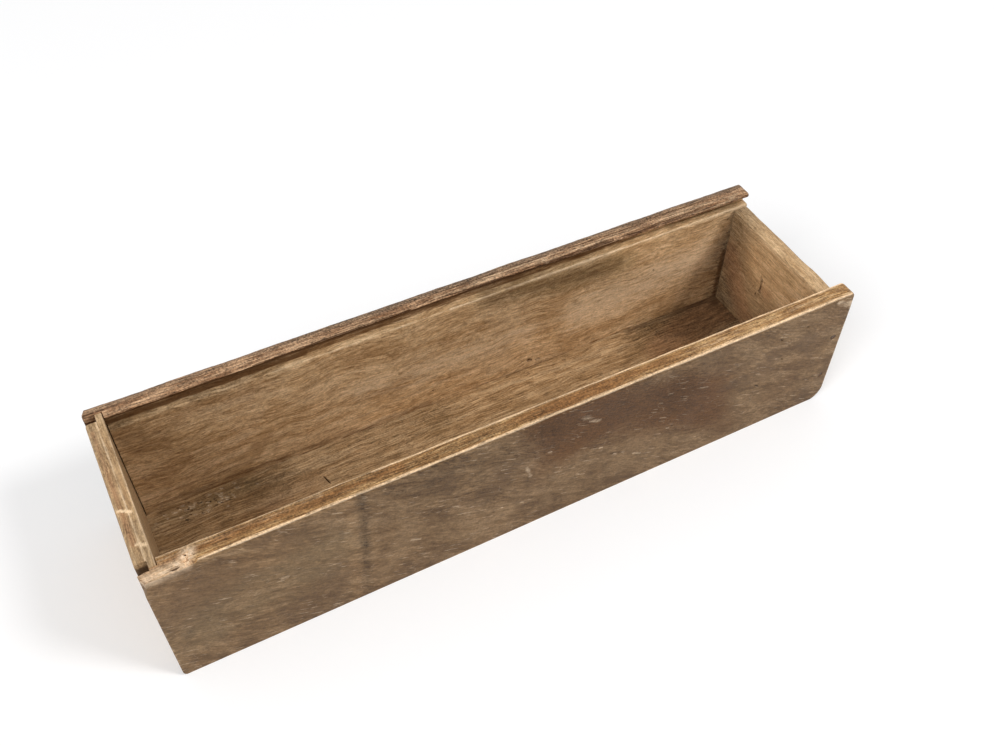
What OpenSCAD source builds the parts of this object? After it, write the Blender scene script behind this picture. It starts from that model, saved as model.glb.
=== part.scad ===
// Long narrow wooden box for a set of dominoes, standing open with its sliding lid away.
// Two side boards carry the lid's grooves. The lid came in over the low end board
// and stopped against the tall one, whose tongue sits in a housing in each side board.
// Frame: origin at the middle of the base, +X to the low end, +Y to the back, +Z up.

/* [Box] */
// Length over the side boards
box_len = 212; // [150:1:320]
// Width over the side boards
box_w = 58; // [44:0.5:110]
// Height of the side boards
box_h = 47; // [38:0.5:90]

/* [Side boards] */
// Thickness of each side board
side_t = 5.5; // [4.8:0.1:9]
// Radius of the worn base corner at the low end
low_base_r = 5; // [0.5:0.1:8]
// Radius of the worn top corner at the low end
low_top_r = 2; // [0.3:0.1:4]
// Radius of the worn base corner at the tall end
tall_base_r = 1.5; // [0.3:0.1:4]
// Radius of the worn top corner at the tall end
tall_top_r = 0.6; // [0.2:0.1:2]

/* [Lid grooves] */
// Height of the rail above each groove
rail_h = 2.2; // [1.2:0.1:5]
// Height of each groove
groove_h = 2.8; // [1.5:0.1:6]
// Depth of each groove into its side board
groove_d = 2.6; // [1.2:0.1:3.6]

/* [Tall end board] */
// Thickness of the tall end board
tall_end_t = 4.8; // [3.6:0.1:9]
// Thickness of its tongue, along the inner face
tongue_t = 1.8; // [1.2:0.1:3]
// Depth of the tongue into each side board
tongue_d = 2.5; // [1:0.1:3.6]

/* [Low end board] */
// Thickness of the low end board
low_end_t = 5.4; // [4:0.1:9]
// Distance of its outer face inside the ends of the side boards
low_setback = 0.4; // [0:0.1:6]
// Distance of its top below the grooves, for the lid to pass
lid_gap = 0.2; // [0:0.1:2]
// Gap at the back, where the joint has opened
open_joint = 0.5; // [0:0.1:1.5]

/* [Bottom board] */
// Thickness of the bottom board
bottom_t = 3; // [2:0.1:6]
// Depth of the rebate that takes it in each side board
rebate_d = 2.6; // [2:0.1:3.6]

/* [Brads] */
// Diameter of a brad's shank
brad_d = 1.1; // [0.8:0.1:1.4]
// Diameter of a brad's head
head_d = 1.8; // [1.5:0.1:2]
// Thickness of a brad's head
head_t = 0.5; // [0.3:0.1:0.8]
// Depth of a brad's head below the wood
head_sink = 0.2; // [0:0.1:0.6]
// Length of a brad's point
point_len = 1.6; // [0.8:0.1:2.5]
// Length of the brads in the low end board
end_brad_len = 14; // [11:0.5:20]
// Height of the lower brad of the low end board
end_brad_low_z = 12; // [9:0.5:15]
// Height of the upper brad of the low end board
end_brad_high_z = 29.3; // [20:0.1:30]
// Length of the brads in the bottom board
bottom_brad_len = 10; // [8:0.5:16]
// Number of brads along each side of the bottom board
bottom_brads = 4; // [2:1:8]
// Distance of the first and last of them from the ends
bottom_brad_inset = 16; // [12:0.5:40]
// Distance between the two brads under each end board
foot_brad_pitch = 26; // [10:0.5:32]
// Distance of those brads from the end boards' inner faces
foot_brad_inset = 1.4; // [1:0.1:1.8]

/* [Splintered corner] */
// Length of the splintered top edge at the front of the tall end
chip_len = 13; // [6:0.5:20]
// Length of its level part
chip_flat = 7; // [2:0.5:10]
// Depth of the splintered edge
chip_drop = 1.7; // [0.5:0.1:2]
// Width of the splintered edge across the side board
chip_w = 2.2; // [0.8:0.1:2.8]

/* [Hidden] */
$fn = 48;
// How far a cut runs past the face that it leaves
past = 1;
// Ends of the side boards, and the end boards' faces between them
x_tall = -box_len / 2;
x_low = box_len / 2;
x_tongue = x_tall + tall_end_t - tongue_t;
x_tall_inner = x_tall + tall_end_t;
x_low_face = x_low - low_setback;
x_low_inner = x_low_face - low_end_t;
// Faces of the front side board
y_front = -box_w / 2;
y_inner = y_front + side_t;
// Levels of the lid groove and of the low end board
z_rail = box_h - rail_h;
z_groove = z_rail - groove_h;
z_low_top = z_groove - lid_gap;
// Colours of the old wood and of the brads
outside_wood = [0.43, 0.34, 0.28];
inside_wood = [0.58, 0.45, 0.33];
bottom_wood = [0.50, 0.38, 0.28];
brad_iron = [0.25, 0.22, 0.20];

// What a rounding of radius r takes off the corner at the origin, towards +X and +Y
module corner_waste(r) {
    difference() {
        translate([-past, -past]) square(r + past);
        translate([r, r]) circle(r);
        translate([r, -past]) square([past, r + past]);
        translate([-past, r]) square([r + past, past]);
    }
}

// Side view of the box, with its worn corners
module side_view() {
    difference() {
        translate([x_tall, 0]) square([box_len, box_h]);
        translate([x_tall, 0]) corner_waste(tall_base_r);
        translate([x_low, 0]) mirror([1, 0]) corner_waste(low_base_r);
        translate([x_tall, box_h]) mirror([0, 1]) corner_waste(tall_top_r);
        translate([x_low, box_h]) mirror([1, 0]) mirror([0, 1]) corner_waste(low_top_r);
    }
}

// The side view as a solid from y0 to y1
module side_view_solid(y0, y1) {
    translate([0, y1, 0]) rotate([90, 0, 0]) linear_extrude(y1 - y0) side_view();
}

// A block between two opposite corners
module block(lo, hi) {
    translate(lo) cube(hi - lo);
}

// A brad pointing along +Z, its head's face at the level top
module brad_shape(len, top) {
    rotate_extrude()
        polygon([[0, top], [head_d / 2, top], [head_d / 2, head_sink + head_t],
                 [brad_d / 2, head_sink + head_t], [brad_d / 2, len - point_len], [0, len]]);
}

// A brad that was driven in at the origin
module brad(len) {
    brad_shape(len, head_sink);
}

// The hole that a brad has made, open above its head
module brad_hole(len) {
    brad_shape(len, -past);
}

// Places of the brads that go through the front side board into the low end board
module at_end_brads() {
    for (z = [end_brad_low_z, end_brad_high_z])
        translate([x_low_inner + low_end_t / 2, y_front, z]) rotate([-90, 0, 0]) children();
}

// Places of the brads that go up through the bottom board into the front side board
module at_bottom_brads() {
    pitch = (box_len - 2 * bottom_brad_inset) / (bottom_brads - 1);
    for (i = [0 : bottom_brads - 1])
        translate([x_tall + bottom_brad_inset + i * pitch, y_inner - rebate_d / 2, 0])
            children();
}

// Places of the brads that go up through the bottom board into the end boards
module at_foot_brads() {
    for (x = [x_tall_inner - foot_brad_inset, x_low_inner + foot_brad_inset], side = [-1, 1])
        translate([x, side * foot_brad_pitch / 2, 0]) children();
}

// A side board as the front one, its outer face at y_front
module side_board() {
    difference() {
        side_view_solid(y_front, y_inner);
        // Lid groove, along the whole board
        block([x_tall - past, y_inner - groove_d, z_groove],
              [x_low + past, y_inner + past, z_rail]);
        // The rail's short end past the tongue, broken away
        block([x_tall - past, y_inner - groove_d, z_rail - past],
              [x_tongue, y_inner + past, box_h + past]);
        // Housing of the tall end board's tongue
        block([x_tongue, y_inner - tongue_d, bottom_t],
              [x_tall_inner, y_inner + past, box_h + past]);
        // Rebate of the bottom board
        block([x_tall - past, y_inner - rebate_d, -past],
              [x_low + past, y_inner + past, bottom_t]);
        at_end_brads() brad_hole(end_brad_len);
        at_bottom_brads() brad_hole(bottom_brad_len);
    }
}

// Splintered top edge of the front side board at the tall end
module splintered_edge() {
    translate([x_tall, y_front + chip_w, box_h]) rotate([90, 0, 0])
        linear_extrude(chip_w + past)
            polygon([[-past, past], [chip_len, past], [chip_len, 0], [chip_flat, -chip_drop],
                     [-past, -chip_drop]]);
}

module front_side_board() {
    color(outside_wood) difference() {
        side_board();
        splintered_edge();
    }
}

module back_side_board() {
    color(outside_wood) mirror([0, 1, 0]) side_board();
}

// Tall end board: it stops the lid, and its tongue runs along its inner face
module tall_end_board() {
    color(inside_wood) difference() {
        intersection() {
            union() {
                block([x_tall - past, y_inner, bottom_t],
                      [x_tall_inner, -y_inner, box_h + past]);
                block([x_tongue, y_inner - tongue_d, bottom_t],
                      [x_tall_inner, -y_inner + tongue_d, box_h + past]);
            }
            side_view_solid(y_front, -y_front);
        }
        at_foot_brads() brad_hole(bottom_brad_len);
    }
}

// Low end board: butted between the side boards, low enough for the lid to pass over it
module low_end_board() {
    color(inside_wood) difference() {
        intersection() {
            block([x_low_inner, y_inner, bottom_t], [x_low_face, -y_inner - open_joint, z_low_top]);
            side_view_solid(y_front, -y_front);
        }
        at_end_brads() brad_hole(end_brad_len);
        mirror([0, 1, 0]) at_end_brads() brad_hole(end_brad_len);
        at_foot_brads() brad_hole(bottom_brad_len);
    }
}

// Bottom board: let into the side boards' rebates, with the end boards standing on it
module bottom_board() {
    color(bottom_wood) difference() {
        intersection() {
            block([x_tall - past, y_inner - rebate_d, -past],
                  [x_low + past, -y_inner + rebate_d, bottom_t]);
            side_view_solid(y_front, -y_front);
        }
        at_bottom_brads() brad_hole(bottom_brad_len);
        mirror([0, 1, 0]) at_bottom_brads() brad_hole(bottom_brad_len);
        at_foot_brads() brad_hole(bottom_brad_len);
    }
}

module end_brads_front() {
    color(brad_iron) at_end_brads() brad(end_brad_len);
}

module end_brads_back() {
    color(brad_iron) mirror([0, 1, 0]) at_end_brads() brad(end_brad_len);
}

module bottom_brads_front() {
    color(brad_iron) at_bottom_brads() brad(bottom_brad_len);
}

module bottom_brads_back() {
    color(brad_iron) mirror([0, 1, 0]) at_bottom_brads() brad(bottom_brad_len);
}

module bottom_brads_ends() {
    color(brad_iron) at_foot_brads() brad(bottom_brad_len);
}

front_side_board();
back_side_board();
tall_end_board();
low_end_board();
bottom_board();
end_brads_front();
end_brads_back();
bottom_brads_front();
bottom_brads_back();
bottom_brads_ends();
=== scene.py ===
"""Looks of the old wooden storage box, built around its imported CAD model.

Every board is modelled again with its worn edges, splinters and open joints, and stands
for its CAD node. The brads are the CAD nodes themselves, in rusty iron.
Lengths in the classes are millimetres in the CAD frame, and meshes are written in metres.
"""

import logging
import math
from dataclasses import dataclass
from enum import Enum
from typing import Callable, ClassVar, Sequence

import bmesh
import bpy
import numpy as np
from mathutils import Matrix, Vector, noise


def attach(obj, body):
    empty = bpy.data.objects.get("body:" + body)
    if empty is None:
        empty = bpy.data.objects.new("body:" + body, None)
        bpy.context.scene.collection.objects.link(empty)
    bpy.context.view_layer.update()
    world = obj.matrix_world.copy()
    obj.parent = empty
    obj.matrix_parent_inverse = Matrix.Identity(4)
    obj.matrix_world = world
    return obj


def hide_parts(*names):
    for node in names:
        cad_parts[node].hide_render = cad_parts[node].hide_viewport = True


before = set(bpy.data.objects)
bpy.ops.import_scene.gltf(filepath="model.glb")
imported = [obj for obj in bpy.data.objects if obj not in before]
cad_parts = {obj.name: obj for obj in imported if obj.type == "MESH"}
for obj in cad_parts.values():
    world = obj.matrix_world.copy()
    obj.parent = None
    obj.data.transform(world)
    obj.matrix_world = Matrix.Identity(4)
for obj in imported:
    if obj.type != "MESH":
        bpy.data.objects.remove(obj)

LOG = logging.getLogger("storage_box")
MM = 0.001
# Points of a mesh that are closer than this, in metres, are one point
SEAM = 1e-6
# An edge that turns less than this, in degrees, is not an arris to round
LEAST_ARRIS = 30
# What the boards' vertices carry for the finishes: wear; grime, which also holds painted shadow
# in grooves, notches, hollows and corners; tint; torn wood; and tone, which also holds painted
# light and painted shadow. Tint and tone may be below zero and add up, and of the other marks
# the strongest counts
MARK_NAMES = ("worn", "grime_and_painted_shadow", "tint", "torn", "tone_and_painted_lighting")
SUMMED_MARKS = ("tint", "tone_and_painted_lighting")
Point = tuple[float, float, float]
Colour = tuple[float, float, float]
Socket = bpy.types.NodeSocket
Place = Callable[[float, float], Point]


class Axis(Enum):
    """The three axes of the CAD frame."""

    X = 0
    Y = 1
    Z = 2

    @property
    def unit(self) -> Vector:
        """The unit vector along the axis."""
        return Vector([1.0 if i == self.value else 0.0 for i in range(3)])


@dataclass(frozen=True)
class BoxSizes:
    """Main sizes of the box, as in the CAD source."""

    length: float = 212.0
    width: float = 58.0
    height: float = 47.0
    side_t: float = 5.5
    low_base_r: float = 5.0
    low_top_r: float = 2.0
    tall_base_r: float = 1.5
    tall_top_r: float = 0.6
    rail_h: float = 2.2
    groove_h: float = 2.8
    groove_d: float = 2.6
    tall_end_t: float = 4.8
    tongue_t: float = 1.8
    tongue_d: float = 2.5
    low_end_t: float = 5.4
    low_setback: float = 0.4
    lid_gap: float = 0.2
    open_joint: float = 0.5
    bottom_t: float = 3.0
    rebate_d: float = 2.6

    @property
    def x_tall(self) -> float:
        """Outer end of the side boards at the tall end."""
        return -self.length / 2

    @property
    def x_low(self) -> float:
        """Outer end of the side boards at the low end."""
        return self.length / 2

    @property
    def x_tongue(self) -> float:
        """Outer face of the tall end board's tongue."""
        return self.x_tall + self.tall_end_t - self.tongue_t

    @property
    def x_tall_inner(self) -> float:
        """Inner face of the tall end board."""
        return self.x_tall + self.tall_end_t

    @property
    def x_low_face(self) -> float:
        """Outer face of the low end board."""
        return self.x_low - self.low_setback

    @property
    def x_low_inner(self) -> float:
        """Inner face of the low end board."""
        return self.x_low_face - self.low_end_t

    @property
    def y_front(self) -> float:
        """Outer face of the front side board."""
        return -self.width / 2

    @property
    def y_inner(self) -> float:
        """Inner face of the front side board."""
        return self.y_front + self.side_t

    @property
    def z_rail(self) -> float:
        """Underside of the rails over the lid grooves."""
        return self.height - self.rail_h

    @property
    def z_groove(self) -> float:
        """Lower side of the lid grooves."""
        return self.z_rail - self.groove_h

    @property
    def z_low_top(self) -> float:
        """Top of the low end board."""
        return self.z_groove - self.lid_gap


@dataclass(frozen=True)
class BradSizes:
    """Sizes and places of the brads, as in the CAD source."""

    shank_d: float = 1.1
    head_d: float = 1.8
    head_t: float = 0.5
    sink: float = 0.2
    point: float = 1.6
    end_len: float = 14.0
    end_heights: tuple[float, float] = (12.0, 29.3)
    bottom_len: float = 10.0
    bottom_count: int = 4
    bottom_inset: float = 16.0
    foot_pitch: float = 26.0
    foot_inset: float = 1.4


@dataclass(frozen=True)
class Stroke:
    """A mark between two points, strongest on its line and gone at its width."""

    start: Point
    end: Point
    width: float
    strength: float = 1.0

    def mask(self, points: np.ndarray) -> np.ndarray:
        """How strongly the mark reaches each point.

        Args:
            points: One row of x, y and z per point.

        Returns:
            One number from 0 to strength per point.
        """
        start = np.array(self.start)
        along = np.array(self.end) - start
        span = max(float(along @ along), 1e-9)
        t = np.clip((points - start) @ along / span, 0.0, 1.0)
        gap = np.linalg.norm(points - start - t[:, None] * along, axis=1)
        fade = np.clip(1.0 - gap / self.width, 0.0, 1.0)
        return self.strength * fade * fade * (3.0 - 2.0 * fade)


@dataclass(frozen=True)
class Pit:
    """A small hollow in a face, such as a worm hole, a nick or a crack."""

    start: Point
    end: Point
    width: float
    depth: float
    into: Point
    fresh: bool = False

    def lining(self) -> Stroke:
        """The mark in the hollow and not round it: bare wood when fresh, else grime and painted shadow.
        """
        down = np.array(self.into) * self.depth
        reach = self.depth * (1.6 if self.fresh else 0.97)
        return Stroke(tuple(self.start + down), tuple(self.end + down), reach)


def lay(place: Place, *rows: tuple[float, ...]) -> list[Stroke]:
    """Marks on one face.

    Args:
        place: Gives the face's point for two measures on it.
        rows: The two measures of the start and of the end, the width and the strength.

    Returns:
        One stroke per row.
    """
    return [Stroke(place(a, b), place(c, d), width, strength)
            for a, b, c, d, width, strength in rows]


def sink(place: Place, into: Point, depth: float, *rows: tuple[float, ...],
         fresh: bool = False) -> list[Pit]:
    """Small hollows in one face.

    Args:
        place: Gives the face's point for two measures on it.
        into: The way into the wood.
        depth: Depth of the hollows.
        rows: The two measures of the start and of the end, and the width.
        fresh: Whether they show bare wood.

    Returns:
        One hollow per row.
    """
    return [Pit(place(a, b), place(c, d), width, depth, into, fresh) for a, b, c, d, width in rows]


def strongest(marks: Sequence[Stroke], points: np.ndarray) -> np.ndarray:
    """The strongest of several marks at each point.

    Args:
        marks: The marks.
        points: One row of x, y and z per point.

    Returns:
        One number per point, 0 where no mark reaches.
    """
    total = np.zeros(len(points))
    for mark in marks:
        total = np.maximum(total, mark.mask(points))
    return total


def summed(marks: Sequence[Stroke], points: np.ndarray) -> np.ndarray:
    """The sum of several marks at each point, which may be below zero.

    Args:
        marks: The marks.
        points: One row of x, y and z per point.

    Returns:
        One number per point.
    """
    total = np.zeros(len(points))
    for mark in marks:
        total += mark.mask(points)
    return total


def ripple(points: np.ndarray, scale: Point, seed: float = 0.0) -> np.ndarray:
    """Smooth noise at each point.

    Args:
        points: One row of x, y and z per point.
        scale: Waves per millimetre along each axis.
        seed: Shifts the pattern.

    Returns:
        One number from about -1 to 1 per point.
    """
    shift = Vector((seed, seed * 1.7, seed * 2.3))
    rows = points * np.array(scale)
    return np.array([noise.noise(Vector(row) + shift) for row in rows])


def wear_arris(points: np.ndarray, moved: np.ndarray, line: Stroke, bite: np.ndarray,
               axis: Axis, inward: float) -> None:
    """Takes the same off both faces of a level arris.

    Args:
        points: Where the board's points were, one row each.
        moved: The same points as they are being moved.
        line: The arris.
        bite: How much goes at each point.
        axis: The level axis across the arris.
        inward: 1 or -1, the way into the board along that axis.
    """
    taken = line.mask(points) * bite
    moved[:, axis.value] += inward * taken
    moved[:, 2] -= taken


def smooth_step(value: np.ndarray, low: float, high: float) -> np.ndarray:
    """A soft step from 0 at low to 1 at high.

    Args:
        value: The numbers to place.
        low: Where the step starts.
        high: Where it ends.

    Returns:
        Numbers from 0 to 1.
    """
    t = np.clip((value - low) / (high - low), 0.0, 1.0)
    return t * t * (3.0 - 2.0 * t)


class Board:
    """A closed board mesh that starts from a flat outline."""

    def __init__(self, outline: Sequence[tuple[float, float]], axis: Axis,
                 start: float, stop: float) -> None:
        """Extrudes the outline into a closed solid.

        Args:
            outline: Corners in the other two axes, in order round the board.
            axis: The axis to extrude along.
            start: Where the outline lies on that axis.
            stop: Where the far end lies.
        """
        self.axis = axis
        self.bm = bmesh.new()
        first, second = [i for i in range(3) if i != axis.value]
        corners = []
        for a, b in outline:
            place = [0.0, 0.0, 0.0]
            place[first], place[second], place[axis.value] = a, b, start
            corners.append(self.bm.verts.new(place))
        face = self.bm.faces.new(corners)
        grown = bmesh.ops.extrude_face_region(self.bm, geom=[face])
        moved = [v for v in grown["geom"] if isinstance(v, bmesh.types.BMVert)]
        bmesh.ops.translate(self.bm, vec=axis.unit * (stop - start), verts=moved)
        bmesh.ops.recalc_face_normals(self.bm, faces=self.bm.faces[:])

    def round_edges(self, radius: float, segments: int, skip: Sequence[Stroke] = ()) -> None:
        """Rounds the outward edges.

        Args:
            radius: How far each rounding reaches.
            segments: Faces across each rounding.
            skip: Marks round the edges that stay sharp.
        """
        chosen = []
        for edge in self.bm.edges:
            if not edge.is_manifold or edge.calc_face_angle_signed() < math.radians(LEAST_ARRIS):
                continue
            middle = np.array([(edge.verts[0].co + edge.verts[1].co) / 2])
            if strongest(skip, middle)[0] > 0.5:
                continue
            chosen.append(edge)
        bmesh.ops.bevel(self.bm, geom=chosen, offset=radius, segments=segments,
                        profile=0.5, affect="EDGES", material=-1, clamp_overlap=True)

    def slice(self, axis: Axis, places: Sequence[float]) -> None:
        """Cuts the faces along flat planes, which gives the board rows to shape.

        Args:
            axis: The axis that the planes stand across.
            places: Where they cross it.
        """
        for place in places:
            geometry = self.bm.verts[:] + self.bm.edges[:] + self.bm.faces[:]
            bmesh.ops.bisect_plane(self.bm, geom=geometry, dist=1e-4,
                                   plane_co=axis.unit * place, plane_no=axis.unit)

    def comb(self, cuts: int, least: float) -> None:
        """Divides the long edges, so that the board can be worn and shaped along its length.

        Args:
            cuts: New points on each long edge.
            least: Length of the shortest edge that is divided.
        """
        long_edges = [e for e in self.bm.edges
                      if abs((e.verts[0].co - e.verts[1].co)[self.axis.value]) > least]
        bmesh.ops.subdivide_edges(self.bm, edges=long_edges, cuts=cuts, use_grid_fill=True)

    def points(self) -> np.ndarray:
        """Where the vertices are, one row each."""
        return np.array([v.co for v in self.bm.verts], float)

    def place(self, points: np.ndarray) -> None:
        """Moves the vertices.

        Args:
            points: One row of x, y and z per vertex, in their order.
        """
        for vert, row in zip(self.bm.verts, points):
            vert.co = row

    def finish(self, name: str) -> bpy.types.Object:
        """Makes the piece's object, in metres.

        Args:
            name: The piece's name.

        Returns:
            The new object, at the origin.
        """
        bmesh.ops.recalc_face_normals(self.bm, faces=self.bm.faces[:])
        self.bm.transform(Matrix.Scale(MM, 4))
        return object_from(self.bm, name)


def object_from(bm: bmesh.types.BMesh, name: str) -> bpy.types.Object:
    """Turns a bmesh into an object in the scene and frees it.

    Args:
        bm: The bmesh.
        name: Name of the object.

    Returns:
        The new object.
    """
    mesh = bpy.data.meshes.new(name)
    bm.to_mesh(mesh)
    bm.free()
    made = bpy.data.objects.new(name, mesh)
    bpy.context.scene.collection.objects.link(made)
    return made


class Cutter:
    """Solid shapes, kept apart from each other, that are taken off a board."""

    def __init__(self) -> None:
        """Starts with nothing."""
        self.bm = bmesh.new()

    def block(self, low: Point, high: Point) -> None:
        """Adds a block.

        Args:
            low: Its lowest corner.
            high: Its highest corner.
        """
        size = Vector(high) - Vector(low)
        centre = (Vector(high) + Vector(low)) / 2
        turn = Matrix.Translation(centre) @ Matrix.Diagonal((*size, 1.0))
        bmesh.ops.create_cube(self.bm, size=1.0, matrix=turn)

    def brad_hole(self, at: Point, turn: Matrix, length: float, brad: BradSizes) -> None:
        """Adds the hole of a brad, open above its head.

        Args:
            at: Where the brad went in.
            turn: Turns +Z to the way that it points.
            length: Length of the brad.
            brad: Its sizes.
        """
        rows = [(0.0, -1.0), (brad.head_d / 2, -1.0), (brad.head_d / 2, brad.sink + brad.head_t),
                (brad.shank_d / 2, brad.sink + brad.head_t),
                (brad.shank_d / 2, length - brad.point), (0.0, length)]
        verts = [self.bm.verts.new((r, 0.0, z)) for r, z in rows]
        edges = [self.bm.edges.new(pair) for pair in zip(verts, verts[1:])]
        bmesh.ops.spin(self.bm, geom=verts + edges, cent=(0, 0, 0), axis=(0, 0, 1),
                       angle=math.tau, steps=24, use_merge=True)
        new = self.linked(set(verts))
        bmesh.ops.transform(self.bm, verts=new, matrix=Matrix.Translation(at) @ turn)

    def pit(self, pit: Pit) -> None:
        """Adds a small hollow.

        Args:
            pit: Where it lies and how large it is.
        """
        line = Vector(pit.end) - Vector(pit.start)
        down = Vector(pit.into)
        along = line.normalized() if line.length > 0.01 else down.orthogonal().normalized()
        turn = Matrix((along, down.cross(along), down)).transposed().to_4x4()
        size = Matrix.Diagonal(((line.length + pit.width) / 2, pit.width / 2, pit.depth, 1.0))
        middle = (Vector(pit.start) + Vector(pit.end)) / 2
        bmesh.ops.create_uvsphere(self.bm, u_segments=12, v_segments=8, radius=1.0,
                                  matrix=Matrix.Translation(middle) @ turn @ size)

    def linked(self, seeds: set) -> list:
        """Every vertex that hangs together with the given ones.

        Args:
            seeds: Vertices to start from.

        Returns:
            The vertices of their shell.
        """
        found = set(seeds)
        queue = list(seeds)
        while queue:
            vert = queue.pop()
            for edge in vert.link_edges:
                other = edge.other_vert(vert)
                if other not in found:
                    found.add(other)
                    queue.append(other)
        return list(found)

    def cut(self, piece: bpy.types.Object) -> None:
        """Takes the shapes off a piece.

        Args:
            piece: The piece, in metres at the origin.
        """
        bmesh.ops.remove_doubles(self.bm, verts=self.bm.verts[:], dist=1e-5)
        bmesh.ops.recalc_face_normals(self.bm, faces=self.bm.faces[:])
        self.bm.transform(Matrix.Scale(MM, 4))
        tool = object_from(self.bm, piece.name + "_cutter")
        modifier = piece.modifiers.new("cut", "BOOLEAN")
        modifier.operation = "DIFFERENCE"
        modifier.solver = "MANIFOLD"
        modifier.object = tool
        bpy.context.view_layer.update()
        graph = bpy.context.evaluated_depsgraph_get()
        cut = bpy.data.meshes.new_from_object(piece.evaluated_get(graph))
        piece.modifiers.clear()
        old = piece.data
        piece.data = cut
        cut.materials.clear()
        cut.name = piece.name
        bpy.data.meshes.remove(old)
        bpy.data.objects.remove(tool)


class Tree:
    """Adds nodes to one shader or group tree and joins them."""

    def __init__(self, tree: bpy.types.NodeTree) -> None:
        """Keeps the tree.

        Args:
            tree: The tree to add to.
        """
        self.tree = tree

    def node(self, kind: str, **settings: object) -> bpy.types.Node:
        """Adds a node.

        Args:
            kind: Its type name.
            settings: Its own properties.

        Returns:
            The node.
        """
        made = self.tree.nodes.new(kind)
        for name, value in settings.items():
            setattr(made, name, value)
        return made

    def feed(self, socket: Socket, value: object) -> None:
        """Gives an input its value.

        Args:
            socket: The input.
            value: A socket to join, or a plain value.
        """
        if isinstance(value, Socket):
            self.tree.links.new(value, socket)
        elif isinstance(value, tuple) and len(value) == 3 and socket.type == "RGBA":
            socket.default_value = (*value, 1.0)
        else:
            socket.default_value = value

    def math(self, operation: str, a: object, b: object = 0.0, clamp: bool = False) -> Socket:
        """A Math node.

        Args:
            operation: Its operation.
            a: First value.
            b: Second value.
            clamp: Whether the result stays between 0 and 1.

        Returns:
            Its output.
        """
        made = self.node("ShaderNodeMath", operation=operation, use_clamp=clamp)
        self.feed(made.inputs[0], a)
        self.feed(made.inputs[1], b)
        return made.outputs[0]

    def times(self, a: object, b: object) -> Socket:
        """The product of two values."""
        return self.math("MULTIPLY", a, b)

    def plus(self, a: object, b: object, clamp: bool = False) -> Socket:
        """The sum of two values, from 0 to 1 if clamped."""
        return self.math("ADD", a, b, clamp)

    def minus(self, a: object, b: object, clamp: bool = False) -> Socket:
        """The first value less the second, from 0 to 1 if clamped."""
        return self.math("SUBTRACT", a, b, clamp)

    def vector(self, operation: str, a: object, b: object) -> Socket:
        """A Vector Math node.

        Args:
            operation: Its operation.
            a: First vector.
            b: Second vector, or the factor for SCALE.

        Returns:
            Its vector output.
        """
        made = self.node("ShaderNodeVectorMath", operation=operation)
        self.feed(made.inputs[0], a)
        self.feed(made.inputs["Scale"] if operation == "SCALE" else made.inputs[1], b)
        return made.outputs[0]

    def step(self, value: object, low: object, high: object) -> Socket:
        """A smooth step from 0 at low to 1 at high.

        Args:
            value: The value to place.
            low: Where the step starts.
            high: Where it ends.

        Returns:
            A value from 0 to 1.
        """
        made = self.node("ShaderNodeMapRange", interpolation_type="SMOOTHSTEP")
        self.feed(made.inputs["Value"], value)
        self.feed(made.inputs["From Min"], low)
        self.feed(made.inputs["From Max"], high)
        return made.outputs["Result"]

    def noise(self, vector: object, scale: object, detail: float = 2.0, rough: float = 0.5,
              distortion: float = 0.0) -> Socket:
        """A Noise Texture's value.

        Args:
            vector: Where to read it.
            scale: Its scale.
            detail: Its detail.
            rough: Its roughness.
            distortion: Its distortion.

        Returns:
            A value near 0.5.
        """
        made = self.node("ShaderNodeTexNoise", noise_dimensions="3D")
        self.feed(made.inputs["Vector"], vector)
        self.feed(made.inputs["Scale"], scale)
        self.feed(made.inputs["Detail"], detail)
        self.feed(made.inputs["Roughness"], rough)
        self.feed(made.inputs["Distortion"], distortion)
        return made.outputs["Fac"]

    def mix(self, factor: object, a: object, b: object, blend: str = "MIX") -> Socket:
        """Mixes two colours.

        Args:
            factor: Share of the second.
            a: First colour.
            b: Second colour.
            blend: How they mix.

        Returns:
            The mixed colour.
        """
        made = self.node("ShaderNodeMix", data_type="RGBA", blend_type=blend)
        self.feed(made.inputs[0], factor)
        self.feed(made.inputs[6], a)
        self.feed(made.inputs[7], b)
        return made.outputs[2]

    def ramp(self, value: object, stops: Sequence[tuple[float, Colour]]) -> Socket:
        """A colour ramp.

        Args:
            value: The value to look up.
            stops: Places and their colours, in order.

        Returns:
            The colour.
        """
        made = self.node("ShaderNodeValToRGB")
        elements = made.color_ramp.elements
        while len(elements) < len(stops):
            elements.new(0.5)
        for element, (place, colour) in zip(elements, stops):
            element.position = place
            element.color = (*colour, 1.0)
        self.feed(made.inputs[0], value)
        return made.outputs[0]

    def millimetres(self) -> Socket:
        """Where a point lies on its object, in millimetres."""
        where = self.node("ShaderNodeTexCoord").outputs["Object"]
        return self.vector("SCALE", where, 1.0 / MM)

    def turned(self, place: Socket, angle: float) -> Socket:
        """Turns a pattern about the Y axis.

        Args:
            place: Where the pattern is read.
            angle: How far it turns, in radians.

        Returns:
            The turned place.
        """
        made = self.node("ShaderNodeMapping")
        self.feed(made.inputs["Vector"], place)
        made.inputs["Rotation"].default_value = (0.0, angle, 0.0)
        return made.outputs[0]

    def bump(self, height: Socket, strength: float, distance: float) -> Socket:
        """A Bump node.

        Args:
            height: The height.
            strength: Its strength.
            distance: How far the height reaches, in metres.

        Returns:
            The normal.
        """
        made = self.node("ShaderNodeBump")
        made.inputs["Strength"].default_value = strength
        made.inputs["Distance"].default_value = distance
        self.feed(made.inputs["Height"], height)
        return made.outputs[0]

    def end_in(self, kind: str, shader: Socket) -> None:
        """Joins a shader to the tree's output.

        Args:
            kind: The output node's type name.
            shader: The shader.
        """
        self.feed(self.node(kind).inputs["Surface"], shader)

    def principled(self, values: dict[str, object]) -> None:
        """Ends a material in a Principled BSDF.

        Args:
            values: Its inputs by name.
        """
        made = self.node("ShaderNodeBsdfPrincipled")
        for label, value in values.items():
            self.feed(made.inputs[label], value)
        self.end_in("ShaderNodeOutputMaterial", made.outputs[0])


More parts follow.
